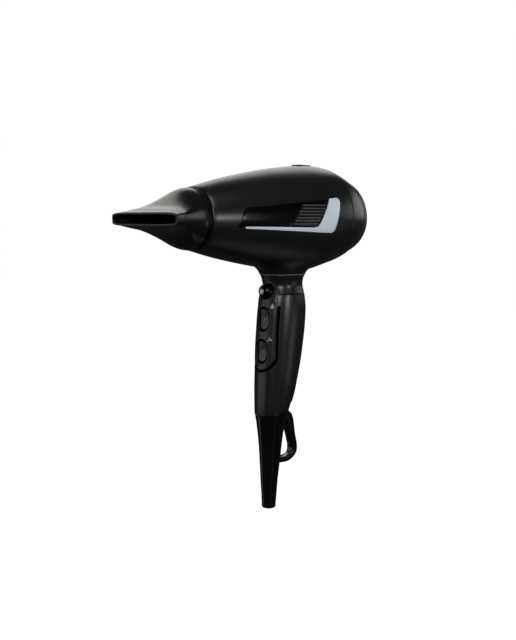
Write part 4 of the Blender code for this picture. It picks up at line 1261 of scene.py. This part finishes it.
def finish_cad_nodes(look):
    """The pieces that keep their CAD shape get the surface of their slot."""
    by_slot = {material.name.split(".")[0]: material for material in look.values()}
    for obj in frame["nodes"].values():
        for slot in obj.material_slots:
            slot.material = by_slot[slot.material.name.split(".")[0]]


def direction(azimuth, elevation):
    """Unit vector from angles in degrees. Azimuth 0 is in front of the nozzle, 90 on the dryer's left."""
    turn = math.radians(azimuth)
    lift = math.radians(elevation)
    return Vector((math.sin(turn) * math.cos(lift), -math.cos(turn) * math.cos(lift), math.sin(lift)))


def softbox(name, azimuth, elevation, distance, width, height, power, colour):
    """Soft area light aimed at the dryer."""
    light = bpy.data.lights.new(name, "AREA")
    light.shape = "RECTANGLE"
    light.size = width
    light.size_y = height
    light.energy = power
    light.color = colour
    obj = bpy.data.objects.new(name, light)
    back = direction(azimuth, elevation)
    obj.location = Vector(AIM) + back * distance
    obj.rotation_mode = "QUATERNION"
    obj.rotation_quaternion = back.to_track_quat("Z", "Y")
    obj.visible_camera = False
    bpy.context.scene.collection.objects.link(obj)


def pale(name, level):
    material = bpy.data.materials.new(name)
    material.use_nodes = True
    tree = material.node_tree
    shader = tree.nodes["Principled BSDF"]
    shader.inputs["Base Color"].default_value = (0.1, 0.1, 0.1, 1.0)
    shader.inputs["Roughness"].default_value = 0.9
    shader.inputs["Emission Color"].default_value = (1.0, 1.0, 1.0, 1.0)
    shader.inputs["Emission Strength"].default_value = level
    return material


def build_studio():
    """Pale floor and backdrop that only the camera sees, so that the gloss shows the lights alone."""
    floor_mesh = bpy.data.meshes.new("floor")
    work = bmesh.new()
    bmesh.ops.create_circle(work, cap_ends=True, segments=96, radius=FLOOR_RADIUS)
    work.to_mesh(floor_mesh)
    work.free()
    floor = new_object("floor", floor_mesh, pale("pale_floor", 1.0))
    floor.location.z = cad_box[0].z - FLOOR_DROP
    dome_mesh = bpy.data.meshes.new("backdrop")
    work = bmesh.new()
    bmesh.ops.create_icosphere(work, subdivisions=4, radius=BACKDROP_RADIUS)
    work.to_mesh(dome_mesh)
    work.free()
    dome = new_object("backdrop", dome_mesh, pale("pale_backdrop", 1.0))
    for obj in (floor, dome):
        obj.visible_glossy = False
        obj.visible_diffuse = False
        obj.visible_shadow = False
    world = bpy.data.worlds.new("studio")
    world.use_nodes = True
    sky = world.node_tree.nodes["Background"]
    sky.inputs["Color"].default_value = (1.0, 1.0, 1.0, 1.0)
    sky.inputs["Strength"].default_value = SKY_STRENGTH
    bpy.context.scene.world = world
    for light in LIGHTS:
        softbox(*light)


def build_camera():
    camera = bpy.data.cameras.new("camera")
    camera.lens = CAMERA_LENS
    camera.clip_start = 0.01
    camera.clip_end = 50.0
    obj = bpy.data.objects.new("camera", camera)
    back = direction(CAMERA_AZIMUTH, CAMERA_PITCH)
    obj.location = CAMERA_PLACE
    obj.rotation_mode = "QUATERNION"
    obj.rotation_quaternion = back.to_track_quat("Z", "Y")
    bpy.context.scene.collection.objects.link(obj)
    bpy.context.scene.camera = obj


def main():
    look = make_looks()
    build_housing(look)
    for word in ("left", "right"):
        build_side(look, word)
    build_lens(look)
    build_rear(look)
    build_rear_grille(look)
    build_dust_filter(look)
    build_outlet_ring(look)
    build_outlet_guard(look)
    build_nozzle(look)
    build_neck_collar(look)
    build_neck_highlight_line(look)
    build_handle(look)
    build_channel_shade_strip(look)
    build_control_panel(look)
    build_button(look)
    build_rocker(look, "heat", HEAT_Z)
    build_rocker(look, "speed", SPEED_Z)
    build_guard(look)
    build_marks(look)
    finish_cad_nodes(look)
    build_studio()
    build_camera()
    bpy.context.scene.view_settings.view_transform = "Standard"


main()
